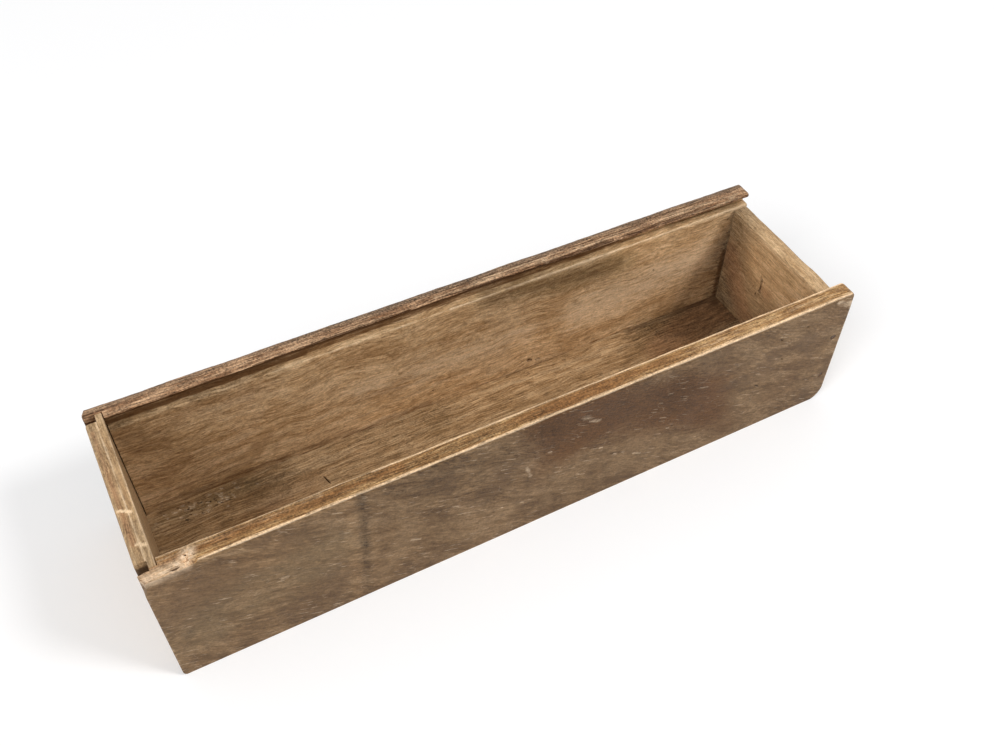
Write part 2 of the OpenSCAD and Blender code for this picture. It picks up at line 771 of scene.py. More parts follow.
def empty_material(name: str) -> tuple[bpy.types.Material, Tree]:
    """Starts a material.

    Args:
        name: Its name.

    Returns:
        The material, and its tree without a node.
    """
    made = bpy.data.materials.new(name)
    made.use_nodes = True
    made.node_tree.nodes.clear()
    return made, Tree(made.node_tree)


class Effects:
    """The shader node groups that the finishes share, each built once."""

    @staticmethod
    def group(name: str, inputs: dict[str, Point | float | None],
              outputs: Sequence[str]) -> tuple[Tree, bpy.types.Node, bpy.types.Node]:
        """Starts a group.

        Args:
            name: Its name.
            inputs: Default of each input by name: a number, or a vector or None for a vector.
            outputs: Name of each value output.

        Returns:
            The tree, its input node and its output node.
        """
        tree = bpy.data.node_groups.new(name, "ShaderNodeTree")
        for label, default in inputs.items():
            kind = "NodeSocketFloat" if isinstance(default, float) else "NodeSocketVector"
            socket = tree.interface.new_socket(label, in_out="INPUT", socket_type=kind)
            if default is not None:
                socket.default_value = default
        for label in outputs:
            tree.interface.new_socket(label, in_out="OUTPUT", socket_type="NodeSocketFloat")
        build = Tree(tree)
        return build, build.node("NodeGroupInput"), build.node("NodeGroupOutput")

    @classmethod
    def grain(cls) -> bpy.types.NodeTree:
        """Wood grain: broad streaks, fine fibres and short open pores."""
        if "wood_grain" in bpy.data.node_groups:
            return bpy.data.node_groups["wood_grain"]
        build, given, out = cls.group(
            "wood_grain",
            {"Vector": None, "Stretch": (0.05, 0.5, 0.5), "Wander": 2.0, "Fineness": 4.0},
            ["Streak", "Fibre", "Pore"])
        place = given.outputs["Vector"]
        drift = build.node("ShaderNodeTexNoise", noise_dimensions="3D")
        build.feed(drift.inputs["Vector"], place)
        build.feed(drift.inputs["Scale"], 0.045)
        build.feed(drift.inputs["Detail"], 2.0)
        centred = build.vector("SUBTRACT", drift.outputs["Color"], (0.5, 0.5, 0.5))
        moved = build.vector("SCALE", centred, given.outputs["Wander"])
        wandering = build.vector("ADD", place, moved)
        stretched = build.vector("MULTIPLY", wandering, given.outputs["Stretch"])
        fine = build.vector("SCALE", stretched, given.outputs["Fineness"])
        streak = build.noise(stretched, 1.0, 4.0, 0.55, 0.3)
        fibre = build.noise(fine, 1.0, 5.0, 0.72)
        pore = build.noise(build.vector("MULTIPLY", fine, (0.8, 1.3, 1.3)), 1.7, 1.5, 0.5)
        build.feed(out.inputs["Streak"], streak)
        build.feed(out.inputs["Fibre"], fibre)
        build.feed(out.inputs["Pore"], build.step(pore, 0.58, 0.68))
        return build.tree

    @classmethod
    def scratches(cls) -> bpy.types.NodeTree:
        """Short straight scratches and fainter wavering ones, in scattered clusters."""
        if "scratches" in bpy.data.node_groups:
            return bpy.data.node_groups["scratches"]
        build, given, out = cls.group(
            "scratches",
            {"Vector": None, "Stretch": (0.1, 0.4, 0.4), "Width": 0.012, "Cover": 0.5}, ["Line"])
        stretched = build.vector("MULTIPLY", given.outputs["Vector"], given.outputs["Stretch"])
        level = build.noise(stretched, 1.0, 1.3, 0.5, 0.2)
        away = build.math("ABSOLUTE", build.minus(level, 0.5))
        line = build.minus(1.0, build.step(away, 0.0, given.outputs["Width"]))
        short = build.noise(build.vector("MULTIPLY", stretched, (2.6, 6.0, 6.0)), 1.0, 2.0, 0.5)
        line = build.math("MAXIMUM", build.times(line, 0.4), build.step(short, 0.64, 0.69))
        cluster = build.noise(given.outputs["Vector"], 0.11, 2.5, 0.6)
        edge = build.minus(1.0, given.outputs["Cover"])
        shown = build.step(cluster, edge, build.plus(edge, 0.12))
        build.feed(out.inputs["Line"], build.times(line, shown))
        return build.tree

    @classmethod
    def mottle(cls) -> bpy.types.NodeTree:
        """Soft blotches, and a fine speckle over them."""
        if "mottle" in bpy.data.node_groups:
            return bpy.data.node_groups["mottle"]
        build, given, out = cls.group("mottle", {"Vector": None, "Size": 20.0},
                                      ["Blotch", "Speckle"])
        scale = build.math("DIVIDE", 1.0, given.outputs["Size"])
        build.feed(out.inputs["Blotch"], build.noise(given.outputs["Vector"], scale, 3.0, 0.6, 0.8))
        build.feed(out.inputs["Speckle"], build.noise(given.outputs["Vector"], 1.6, 3.0, 0.7))
        return build.tree

    @classmethod
    def ragged(cls) -> bpy.types.NodeTree:
        """Turns a soft mark into one with a ragged edge, drawn out along the grain."""
        if "ragged_mark" in bpy.data.node_groups:
            return bpy.data.node_groups["ragged_mark"]
        build, given, out = cls.group(
            "ragged_mark",
            {"Vector": None, "Stretch": (0.2, 1.0, 1.0), "Fineness": 2.5, "Mark": 0.0,
             "Raggedness": 0.6}, ["Mask"])
        stretched = build.vector("MULTIPLY", given.outputs["Vector"], given.outputs["Stretch"])
        fine = build.vector("SCALE", stretched, given.outputs["Fineness"])
        torn = build.minus(build.noise(fine, 1.0, 4.0, 0.7), 0.5)
        push = build.times(torn, given.outputs["Raggedness"])
        gate = build.step(given.outputs["Mark"], 0.0, 0.15)
        raised = build.plus(given.outputs["Mark"], build.times(push, gate))
        build.feed(out.inputs["Mask"], build.step(raised, 0.22, 0.62))
        return build.tree


@dataclass(frozen=True)
class WoodFinish:
    """Old wood, with its grain, blotches, scratches, wear, grime, and painted light and shadow."""

    name: str
    deep: Colour
    body: Colour
    pale: Colour
    bare: Colour
    grime_and_painted_shadow: Colour
    red: Colour
    olive: Colour
    stretch: Point
    split: Colour = (0.700, 0.535, 0.375)
    wander: float = 2.5
    fineness: float = 4.0
    turn: float = 0.0
    contrast: float = 1.5
    hatch: float = 0.9
    tint: float = 0.7
    pores: float = 0.5
    grit: float = 0.7
    blotch: float = 0.3
    blotch_size: float = 22.0
    scratch: float = 0.0
    scratch_stretch: Point = (0.1, 0.35, 0.35)
    scratch_turn: float = 0.0
    scratch_width: float = 0.014
    scratch_cover: float = 0.5
    rough: float = 0.62
    relief: float = 0.00012

    def place(self, build: Tree, group: bpy.types.NodeTree, **values: object) -> bpy.types.Node:
        """Places a shared effect in the material.

        Args:
            build: The material's tree.
            group: The effect.
            values: Its inputs by name.

        Returns:
            The group node.
        """
        made = build.node("ShaderNodeGroup")
        made.node_tree = group
        for label, value in values.items():
            build.feed(made.inputs[label], value)
        return made

    def material(self) -> bpy.types.Material:
        """Builds the material.

        Returns:
            The new material.
        """
        made, build = empty_material(self.name)
        place = build.millimetres()
        marks = {}
        for label in MARK_NAMES:
            read = build.node("ShaderNodeAttribute", attribute_type="GEOMETRY",
                              attribute_name=label)
            marks[label] = read.outputs["Fac"]
        grain = self.place(build, Effects.grain(), Vector=build.turned(place, self.turn),
                           Stretch=self.stretch, Wander=self.wander, Fineness=self.fineness)
        mottle = self.place(build, Effects.mottle(), Vector=place, Size=self.blotch_size)
        scratches = self.place(build, Effects.scratches(),
                               Vector=build.turned(place, self.scratch_turn),
                               Stretch=self.scratch_stretch, Width=self.scratch_width,
                               Cover=self.scratch_cover)
        streak, fibre, pore = (grain.outputs[n] for n in ("Streak", "Fibre", "Pore"))
        blotch, speckle = (mottle.outputs[n] for n in ("Blotch", "Speckle"))
        line = scratches.outputs["Line"]

        # Grain: streaks lifted by the fibres, from deep to pale
        lift = build.times(build.minus(0.5, fibre), self.hatch)
        tone = build.plus(streak, lift)
        colour = build.ramp(tone, [(0.32, self.deep), (0.50, self.body), (0.68, self.pale)])
        # Blotches, and the reddish and olive patches
        dark = build.times(build.step(blotch, 0.50, 0.36), self.blotch)
        colour = build.mix(dark, colour, self.deep)
        light = build.times(build.step(blotch, 0.52, 0.68), self.blotch)
        colour = build.mix(light, colour, self.pale)
        tint = build.plus(marks["tint"], build.minus(blotch, 0.5))
        reddened = build.times(build.step(tint, 0.15, 0.95), self.tint)
        colour = build.mix(reddened, colour, self.red)
        greened = build.times(build.step(tint, -0.15, -0.95), self.tint)
        colour = build.mix(greened, colour, self.olive)
        # Scratches, rubbed wood and torn wood
        colour = build.mix(build.times(line, self.scratch), colour, self.bare)
        worn = self.place(build, Effects.ragged(), Vector=place, Stretch=self.stretch,
                          Mark=marks["worn"], Raggedness=0.9).outputs["Mask"]
        rubbed = build.mix(build.step(fibre, 0.54, 0.70), self.bare, self.pale)
        colour = build.mix(worn, colour, rubbed)
        torn = build.mix(build.step(fibre, 0.46, 0.62), self.split, self.bare)
        colour = build.mix(marks["torn"], colour, torn)
        # Light and dark of the single fibres, calmer where the wood is bare, then the tone marks,
        # which also add painted light and painted shadow
        spread = build.plus(build.minus(0.5, fibre),
                            build.times(build.minus(speckle, 0.5), self.grit))
        bright = build.math("MAXIMUM", build.times(worn, 0.45), marks["torn"])
        calm = build.minus(1.0, build.times(bright, 0.6))
        spread = build.times(spread, calm)
        gain = build.plus(1.0, build.times(spread, self.contrast))
        gain = build.plus(gain, build.times(marks["tone_and_painted_lighting"], 0.5))
        colour = build.mix(1.0, colour, build.math("MAXIMUM", gain, 0.12), "MULTIPLY")
        # Open pores, then grime, which also lays painted shadow in grooves, notches, hollows and
        # corners
        open_pore = build.times(build.times(pore, calm), self.pores)
        colour = build.mix(open_pore, colour, self.grime_and_painted_shadow)
        grime_and_shadow_mask = self.place(build, Effects.ragged(), Vector=place, Stretch=self.stretch,
                          Mark=marks["grime_and_painted_shadow"], Raggedness=0.8).outputs["Mask"]
        colour = build.mix(build.times(grime_and_shadow_mask, 0.85), colour, self.grime_and_painted_shadow)

        # Gloss and relief
        gloss = build.times(build.minus(blotch, 0.5), 0.35)
        rough = build.plus(self.rough, gloss, clamp=True)
        height = build.minus(build.times(speckle, 0.25), fibre)
        height = build.minus(height, build.times(pore, 0.8))
        height = build.minus(height, build.times(line, 0.6))
        build.principled({"Base Color": colour, "Roughness": rough, "IOR": 1.45,
                          "Specular IOR Level": 0.25,
                          "Normal": build.bump(height, 0.8, self.relief)})
        return made


@dataclass(frozen=True)
class IronFinish:
    """Dark iron wire with rust blooming over it."""

    name: str = "rusty_iron"
    bright: Colour = (0.14, 0.12, 0.10)
    dark: Colour = (0.045, 0.036, 0.03)
    rust: Colour = (0.17, 0.075, 0.035)
    relief: float = 0.00006

    def material(self) -> bpy.types.Material:
        """Builds the material.

        Returns:
            The new material.
        """
        made, build = empty_material(self.name)
        place = build.millimetres()
        cloud = build.noise(place, 1.7, 4.0, 0.65)
        pit = build.noise(place, 6.0, 2.0, 0.5)
        colour = build.ramp(pit, [(0.35, self.dark), (0.65, self.bright)])
        rusty = build.step(cloud, 0.42, 0.6)
        colour = build.mix(rusty, colour, self.rust)
        rough = build.plus(0.45, build.times(rusty, 0.4))
        build.principled({"Base Color": colour, "Roughness": rough,
                          "Metallic": build.minus(0.9, rusty, clamp=True),
                          "Normal": build.bump(build.plus(pit, rusty), 0.7, self.relief)})
        return made


class Finishes:
    """The finishes of this box, each made into a material once."""

    def __init__(self) -> None:
        """Builds the materials."""
        self.outside = WoodFinish(
            "outside_patina", deep=(0.112, 0.061, 0.026), body=(0.174, 0.102, 0.047),
            pale=(0.238, 0.150, 0.078), bare=(0.52, 0.385, 0.255), grime_and_painted_shadow=(0.030, 0.015, 0.007),
            red=(0.122, 0.054, 0.018), olive=(0.182, 0.126, 0.064), stretch=(0.06, 0.30, 0.30),
            turn=math.radians(-24), wander=6.0, fineness=5.0, contrast=1.3, hatch=0.75, tint=0.95,
            pores=0.25, grit=1.0, blotch=0.7, blotch_size=26.0, scratch=0.60,
            scratch_stretch=(0.075, 0.30, 0.30), scratch_turn=math.radians(-22),
            scratch_width=0.009, scratch_cover=0.55, rough=0.58).material()
        self.rail = WoodFinish(
            "rail_top_wood", deep=(0.195, 0.092, 0.030), body=(0.330, 0.176, 0.066),
            pale=(0.460, 0.292, 0.136), bare=(0.720, 0.500, 0.300), grime_and_painted_shadow=(0.060, 0.024, 0.007),
            red=(0.265, 0.116, 0.036), olive=(0.270, 0.198, 0.138), stretch=(0.07, 1.0, 1.0),
            wander=2.0, fineness=2.8, contrast=2.3, pores=0.55, grit=1.05, blotch=0.4,
            blotch_size=14.0).material()
        self.grey_rail = WoodFinish(
            "back_rail_wood", deep=(0.175, 0.080, 0.034), body=(0.325, 0.180, 0.092),
            pale=(0.460, 0.290, 0.168), bare=(0.600, 0.420, 0.260), grime_and_painted_shadow=(0.060, 0.022, 0.006),
            red=(0.240, 0.106, 0.042), olive=(0.255, 0.172, 0.110), stretch=(0.045, 1.0, 1.0),
            wander=2.0, fineness=3.0, contrast=2.9, hatch=1.2, pores=0.85, grit=1.2, blotch=0.5,
            blotch_size=14.0).material()
        self.inside = WoodFinish(
            "inside_wood", deep=(0.370, 0.215, 0.096), body=(0.515, 0.328, 0.166),
            pale=(0.625, 0.430, 0.245), bare=(0.665, 0.480, 0.298), grime_and_painted_shadow=(0.088, 0.031, 0.005),
            red=(0.460, 0.250, 0.118), olive=(0.360, 0.238, 0.112), stretch=(0.045, 0.36, 0.36),
            wander=7.0, fineness=5.0, contrast=1.6, hatch=0.9, pores=0.35, blotch=0.5,
            blotch_size=26.0).material()
        self.floor = WoodFinish(
            "floor_wood", deep=(0.250, 0.140, 0.058), body=(0.395, 0.242, 0.116),
            pale=(0.500, 0.336, 0.183), bare=(0.600, 0.420, 0.250), grime_and_painted_shadow=(0.060, 0.028, 0.011),
            red=(0.320, 0.158, 0.070), olive=(0.250, 0.170, 0.082), stretch=(0.03, 0.45, 0.45),
            wander=4.0, fineness=4.5, contrast=1.7, pores=0.45, blotch=0.4,
            blotch_size=26.0).material()
        self.end = WoodFinish(
            "end_board_wood", deep=(0.345, 0.208, 0.100), body=(0.440, 0.285, 0.147),
            pale=(0.520, 0.355, 0.200), bare=(0.680, 0.490, 0.305), grime_and_painted_shadow=(0.060, 0.028, 0.011),
            red=(0.375, 0.190, 0.092), olive=(0.330, 0.225, 0.108), stretch=(0.55, 0.035, 0.55),
            wander=3.0, fineness=5.5, contrast=1.7, hatch=0.8, pores=0.35, blotch=0.4,
            blotch_size=16.0).material()
        self.iron = IronFinish().material()


def paint(piece: bpy.types.Object, name: str, values: np.ndarray) -> None:
    """Stores one number per vertex for the finishes to read.

    Args:
        piece: The piece.
        name: The attribute's name.
        values: One number per vertex.
    """
    layer = piece.data.attributes.new(name, "FLOAT", "POINT")
    layer.data.foreach_set("value", np.clip(values, -1.0, 1.0).astype(np.float32))


def vertex_rows(piece: bpy.types.Object) -> np.ndarray:
    """Where a piece's vertices are.

    Args:
        piece: The piece.

    Returns:
        One row of x, y and z per vertex, in millimetres.
    """
    rows = np.zeros(len(piece.data.vertices) * 3)
    piece.data.vertices.foreach_get("co", rows)
    return rows.reshape(-1, 3) / MM


def drop_scraps(bm: bmesh.types.BMesh, least: int = 100) -> None:
    """Deletes the small loose sheets that a cut can leave.

    Args:
        bm: The mesh.
        least: Fewest faces of a shell that stays.
    """
    waiting = set(bm.faces)
    scraps = []
    while waiting:
        shell = [waiting.pop()]
        for face in shell:
            near = {other for edge in face.edges for other in edge.link_faces if other in waiting}
            waiting -= near
            shell.extend(near)
        if len(shell) < least:
            scraps.extend(shell)
    bmesh.ops.delete(bm, geom=scraps, context="FACES")


def soften(piece: bpy.types.Object, crease: float = 38.0) -> None:
    """Shades a piece smoothly, except over edges that turn sharply.

    Args:
        piece: The piece.
        crease: Least angle of a sharp edge, in degrees.
    """
    bm = bmesh.new()
    bm.from_mesh(piece.data)
    bmesh.ops.remove_doubles(bm, verts=bm.verts[:], dist=SEAM)
    bmesh.ops.dissolve_degenerate(bm, dist=SEAM, edges=bm.edges[:])
    drop_scraps(bm)
    limit = math.radians(crease)
    for face in bm.faces:
        face.smooth = True
    for edge in bm.edges:
        edge.smooth = not (edge.is_manifold and edge.calc_face_angle() > limit)
    bm.to_mesh(piece.data)
    bm.free()


@dataclass(frozen=True)
class Marks:
    """A board's soft marks, with painted shadow among the grime and painted light and shadow in the
    tone.
    """

    worn: Sequence[Stroke] = ()
    grime_and_painted_shadow: Sequence[Stroke] = ()
    tint: Sequence[Stroke] = ()
    torn: Sequence[Stroke] = ()
    tone_and_painted_lighting: Sequence[Stroke] = ()

    def apply(self, piece: bpy.types.Object, clean: np.ndarray | float = 0.0) -> None:
        """Paints the marks on a piece.

        Args:
            piece: The piece.
            clean: How far each vertex is kept clean of them, 0 to 1.
        """
        rows = vertex_rows(piece)
        for name in MARK_NAMES:
            gather = summed if name in SUMMED_MARKS else strongest
            paint(piece, name, gather(getattr(self, name), rows) * (1.0 - clean))


@dataclass
class BoxPart:
    """A board of the box: builds its piece, dresses it and sets it on the frame."""

    node: ClassVar[str] = ""
    piece_name: ClassVar[str] = ""
    slot: ClassVar[str] = ""
    sizes: BoxSizes
    brads: BradSizes
    finishes: Finishes
    # How far from its end a board is drawn in to the rounded corners
    end_reach: float = 12.0

    def upright(self, y: float) -> Place:
        """An upright face along the box, by length from the tall end and height."""
        return lambda x, z: (self.sizes.x_tall + x, y, z)

    def level(self, z: float, edge: float = 0.0) -> Place:
        """A level face, by length from the tall end and width from an edge."""
        return lambda x, y: (self.sizes.x_tall + x, edge + y, z)

    def across(self, x: float) -> Place:
        """An upright face across the box, by width and height."""
        return lambda y, z: (x, y, z)

    def side_brads(self) -> list[float]:
        """Where along X the brads go up into a side board."""
        s, b = self.sizes, self.brads
        pitch = (s.length - 2 * b.bottom_inset) / (b.bottom_count - 1)
        return [s.x_tall + b.bottom_inset + i * pitch for i in range(b.bottom_count)]

    def foot_brads(self, x: float) -> list[tuple[float, float]]:
        """Where in X and Y the two brads go up into an end board."""
        return [(x, side * self.brads.foot_pitch / 2) for side in (-1, 1)]

    def drill_up(self, tool: Cutter, places: Sequence[tuple[float, float]]) -> None:
        """Adds the holes of brads that go up from the underside.

        Args:
            tool: The cutter.
            places: X and Y of each brad.
        """
        for x, y in places:
            tool.brad_hole((x, y, 0.0), Matrix.Identity(4), self.brads.bottom_len, self.brads)

    def drill_in(self, tool: Cutter, side: int) -> None:
        """Adds the holes of the brads that go through a side board into the low end board.

        Args:
            tool: The cutter.
            side: -1 for the front, 1 for the back.
        """
        s, b = self.sizes, self.brads
        inward = Matrix.Rotation(math.radians(90 * side), 4, "X")
        for height in b.end_heights:
            at = (s.x_low_inner + s.low_end_t / 2, side * -s.y_front, height)
            tool.brad_hole(at, inward, b.end_len, b)

    def shape(self) -> bpy.types.Object:
        """Builds the mesh; each board has its own way."""
        raise NotImplementedError

    def dress(self, piece: bpy.types.Object) -> None:
        """Gives the piece its materials and marks.

        Args:
            piece: The piece.
        """
        raise NotImplementedError

    def pits(self) -> list[Pit]:
        """The small hollows in the board's faces; a board has none unless it says so."""
        return []

    def carve(self, piece: bpy.types.Object) -> None:
        """Cuts the small hollows.

        Args:
            piece: The piece.
        """
        tool = Cutter()
        for pit in self.pits():
            tool.pit(pit)
        tool.cut(piece)

    def linings(self, fresh: bool) -> list[Stroke]:
        """The marks in the small hollows.

        Args:
            fresh: Whether to give those that show bare wood, or those darkened by grime and painted
                shadow.

        Returns:
            One mark for each such hollow.
        """
        return [pit.lining() for pit in self.pits() if pit.fresh == fresh]

    def coat(self, piece: bpy.types.Object, material: bpy.types.Material) -> None:
        """Gives a piece one finish all over.

        Args:
            piece: The piece.
            material: Its finish.
        """
        piece.data.materials.clear()
        piece.data.materials.append(material)
        for face in piece.data.polygons:
            face.material_index = 0

    def build(self) -> bpy.types.Object:
        """Builds, dresses and places the board.

        Returns:
            The finished piece.
        """
        piece = self.shape()
        if self.pits():
            self.carve(piece)
        soften(piece)
        self.dress(piece)
        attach(piece, "root")
        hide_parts(self.node)
        LOG.info("%s: %d vertices", piece.name, len(piece.data.vertices))
        return piece

    def end_shrink(self, points: np.ndarray) -> np.ndarray:
        """Draws the ends in to the rounded corners of the side view.

        Args:
            points: One row of x, y and z per vertex.

        Returns:
            The points, moved along X.
        """
        s = self.sizes
        moved = points.copy()
        for end, base_r, top_r in ((s.x_low, s.low_base_r, s.low_top_r),
                                   (s.x_tall, s.tall_base_r, s.tall_top_r)):
            into = np.zeros(len(points))
            for radius, depth in ((base_r, points[:, 2]), (top_r, s.height - points[:, 2])):
                short = np.clip(radius - depth, 0.0, radius)
                into = np.maximum(into, radius - np.sqrt(radius ** 2 - short ** 2))
            near = np.clip(1.0 - np.abs(points[:, 0] - end) / self.end_reach, 0.0, 1.0)
            moved[:, 0] -= math.copysign(1.0, end) * into * near
        return moved


@dataclass
class SideBoard(BoxPart):
    """What the two side boards share: rail, lid groove, rebate and rounded ends."""

    slot: ClassVar[str] = "outside_wood"
    # -1 for the front, 1 for the back
    side: ClassVar[int] = -1
    edge_round: float = 0.35
    # Rounding of the low end in plan, where it fades out, and how much more the horn gets
    plan_round: float = 0.45
    plan_reach: float = 6.0
    horn_share: float = 0.7
    # Rows along the board, the closely cut length at the tall end and its share of them
    rows: int = 330
    close_length: float = 20.0
    close_share: float = 0.2
    # Heights of the cuts across the board, or first, last and step, and the step in Y
    foot_cuts: tuple[float, ...] = (0.1, 0.7, 1.3, 2.1)
    wall_cuts: tuple[float, float, float] = (3.2, 41.0, 1.15)
    groove_cut: float = 43.4
    rail_cuts: tuple[float, float, float] = (45.2, 46.5, 0.21)
    thick_cut: float = 0.55
    # The worn upright arris at the tall end: depth, width and lower end
    corner_wear: float = 0.9
    corner_width: float = 2.6
    corner_foot: float = 42.5

    def shape(self) -> bpy.types.Object:
        """Builds the board on the front board's side."""
        s = self.sizes
        board = self.blank()
        points = self.own_wear(self.worn_points(self.spread(board.points())))
        corner = Stroke((s.x_tall, s.y_front, s.height), (s.x_tall, s.y_front, self.corner_foot),
                        self.corner_width)
        points[:, 0] += self.corner_wear * corner.mask(points)
        board.place(self.plan_rounding(self.end_shrink(points)))
        piece = board.finish(self.piece_name)
        self.cutter().cut(piece)
        return piece

    def own_wear(self, points: np.ndarray) -> np.ndarray:
        """Shapes the wear that only this board has.

        Args:
            points: One row of x, y and z per vertex, on the front board's side.

        Returns:
            The moved points.
        """
        raise NotImplementedError

    def plan_rounding(self, points: np.ndarray) -> np.ndarray:
        """Rounds the low end as seen from above, and its horn over the groove more.

        Args:
            points: One row of x, y and z per vertex, with the outer face at y_front.

        Returns:
            The points, moved along X.
        """
        s = self.sizes
        moved = points.copy()
        horn = smooth_step(points[:, 2], s.z_groove - 2.0, s.z_rail)
        into = np.zeros(len(points))
        for depth, share in ((points[:, 1] - s.y_front, 1.0 + self.horn_share * horn),
                             (s.y_inner - points[:, 1], (1.0 + self.horn_share) * horn)):
            reach = np.maximum(self.plan_round * share, 1e-6)
            short = np.clip(reach - depth, 0.0, reach)
            into = np.maximum(into, reach - np.sqrt(reach ** 2 - short ** 2))
        near = np.clip(1.0 - (s.x_low - points[:, 0]) / self.plan_reach, 0.0, 1.0)
        moved[:, 0] -= into * near
        return moved

    def spread(self, points: np.ndarray) -> np.ndarray:
        """Moves evenly spaced rows closer together at the tall end.

        Args:
            points: One row of x, y and z per vertex.

        Returns:
            The points, moved along X.
        """
        s = self.sizes
        moved = points.copy()
        t = (points[:, 0] - s.x_tall) / s.length
        moved[:, 0] = s.x_tall + np.interp(t, [0.0, self.close_share, 1.0],
                                           [0.0, self.close_length, s.length])
        return moved

    def rail_finish(self) -> bpy.types.Material:
        """The finish of the board's top."""
        return self.finishes.rail

    def outline(self) -> list[tuple[float, float]]:
        """Cross-section of the front side board, in Y and Z."""
        s = self.sizes
        groove = s.y_inner - s.groove_d
        rebate = s.y_inner - s.rebate_d
        return [(s.y_front, 0.0), (rebate, 0.0), (rebate, s.bottom_t), (s.y_inner, s.bottom_t),
                (s.y_inner, s.z_groove), (groove, s.z_groove), (groove, s.z_rail),
                (s.y_inner, s.z_rail), (s.y_inner, s.height), (s.y_front, s.height)]

    def blank(self) -> Board:
        """The board with rounded edges and rows to shape, before any wear."""
        s = self.sizes
        board = Board(self.outline(), Axis.X, s.x_tall, s.x_low)
        rebate = s.y_inner - s.rebate_d
        hidden = [Stroke((s.x_tall, rebate, 0), (s.x_low, rebate, 0), 0.5),
                  Stroke((s.x_tall, s.y_inner, s.bottom_t), (s.x_low, s.y_inner, s.bottom_t), 0.5)]
        board.round_edges(self.edge_round, 3, hidden)
        board.slice(Axis.Z, [*self.foot_cuts, *np.arange(*self.wall_cuts), self.groove_cut,
                             *np.arange(*self.rail_cuts)])
        board.slice(Axis.Y, np.arange(s.y_front + 0.7, s.y_inner - 0.4, self.thick_cut))
        board.comb(self.rows, 50.0)
        return board

    def worn_points(self, points: np.ndarray) -> np.ndarray:
        """Shapes the wear that both boards have.

        Args:
            points: One row of x, y and z per vertex, with the outer face at y_front.

        Returns:
            The moved points.
        """
        s = self.sizes
        moved = points.copy()
        outer = Stroke((s.x_tall, s.y_front, s.height), (s.x_low, s.y_front, s.height), 1.6)
        bite = 0.20 + 0.12 * ripple(points, (0.07, 0, 0), 3.0) + 0.05 * ripple(points, (0.6, 0, 0), 9.0)
        wear_arris(points, moved, outer, np.clip(bite, 0.02, 0.5), Axis.Y, 1.0)
        inner = Stroke((s.x_tall, s.y_inner, s.height), (s.x_low, s.y_inner, s.height), 1.2)
        bite = 0.12 + 0.08 * ripple(points, (0.13, 0, 0), 5.0) + 0.05 * ripple(points, (0.8, 0, 0), 1.0)
        wear_arris(points, moved, inner, np.clip(bite, 0.0, 0.5), Axis.Y, -1.0)
        lip = Stroke((s.x_tall, s.y_inner, s.z_groove), (s.x_low, s.y_inner, s.z_groove), 1.1)
        bite = 0.14 + 0.14 * ripple(points, (0.09, 0, 0), 7.0)
        wear_arris(points, moved, lip, np.clip(bite, 0.0, 0.4), Axis.Y, -1.0)
        return moved

    def cutter(self) -> Cutter:
        """What is cut off both boards, on the front board's side."""
        s = self.sizes
        tool = Cutter()
        groove = s.y_inner - s.groove_d
        # The rail's short end past the tongue, then the tongue's housing
        tool.block((s.x_tall - 1.0, groove - 0.55, s.z_groove + 1.2),
                   (s.x_tongue + 0.03, s.y_inner + 1.0, s.height + 1.0))
        tool.block((s.x_tongue, s.y_inner - s.tongue_d, s.bottom_t - 0.1),
                   (s.x_tall_inner + 0.28, s.y_inner + 1.0, s.height + 1.1))
        self.drill_in(tool, -1)
        self.drill_up(tool, [(x, s.y_inner - s.rebate_d / 2) for x in self.side_brads()])
        return tool

    def split_faces(self, piece: bpy.types.Object) -> None:
        """Gives the outer face, the top and the inside their own finishes.

        Args:
            piece: The piece.
        """
        s = self.sizes
        f = self.finishes
        piece.data.materials.clear()
        for material in (f.outside, self.rail_finish(), f.inside):
            piece.data.materials.append(material)
        for face in piece.data.polygons:
            normal = face.normal
            y = self.side * -face.center.y / MM
            z = face.center.z / MM
            outward = self.side * normal.y
            if z > s.z_rail - 0.1 and (normal.z > 0.6 or y > s.y_front + 0.5):
                face.material_index = 1
            elif outward < -0.3 or y > s.y_front + 0.6 and abs(normal.x) < 0.5:
                face.material_index = 2
            else:
                face.material_index = 0


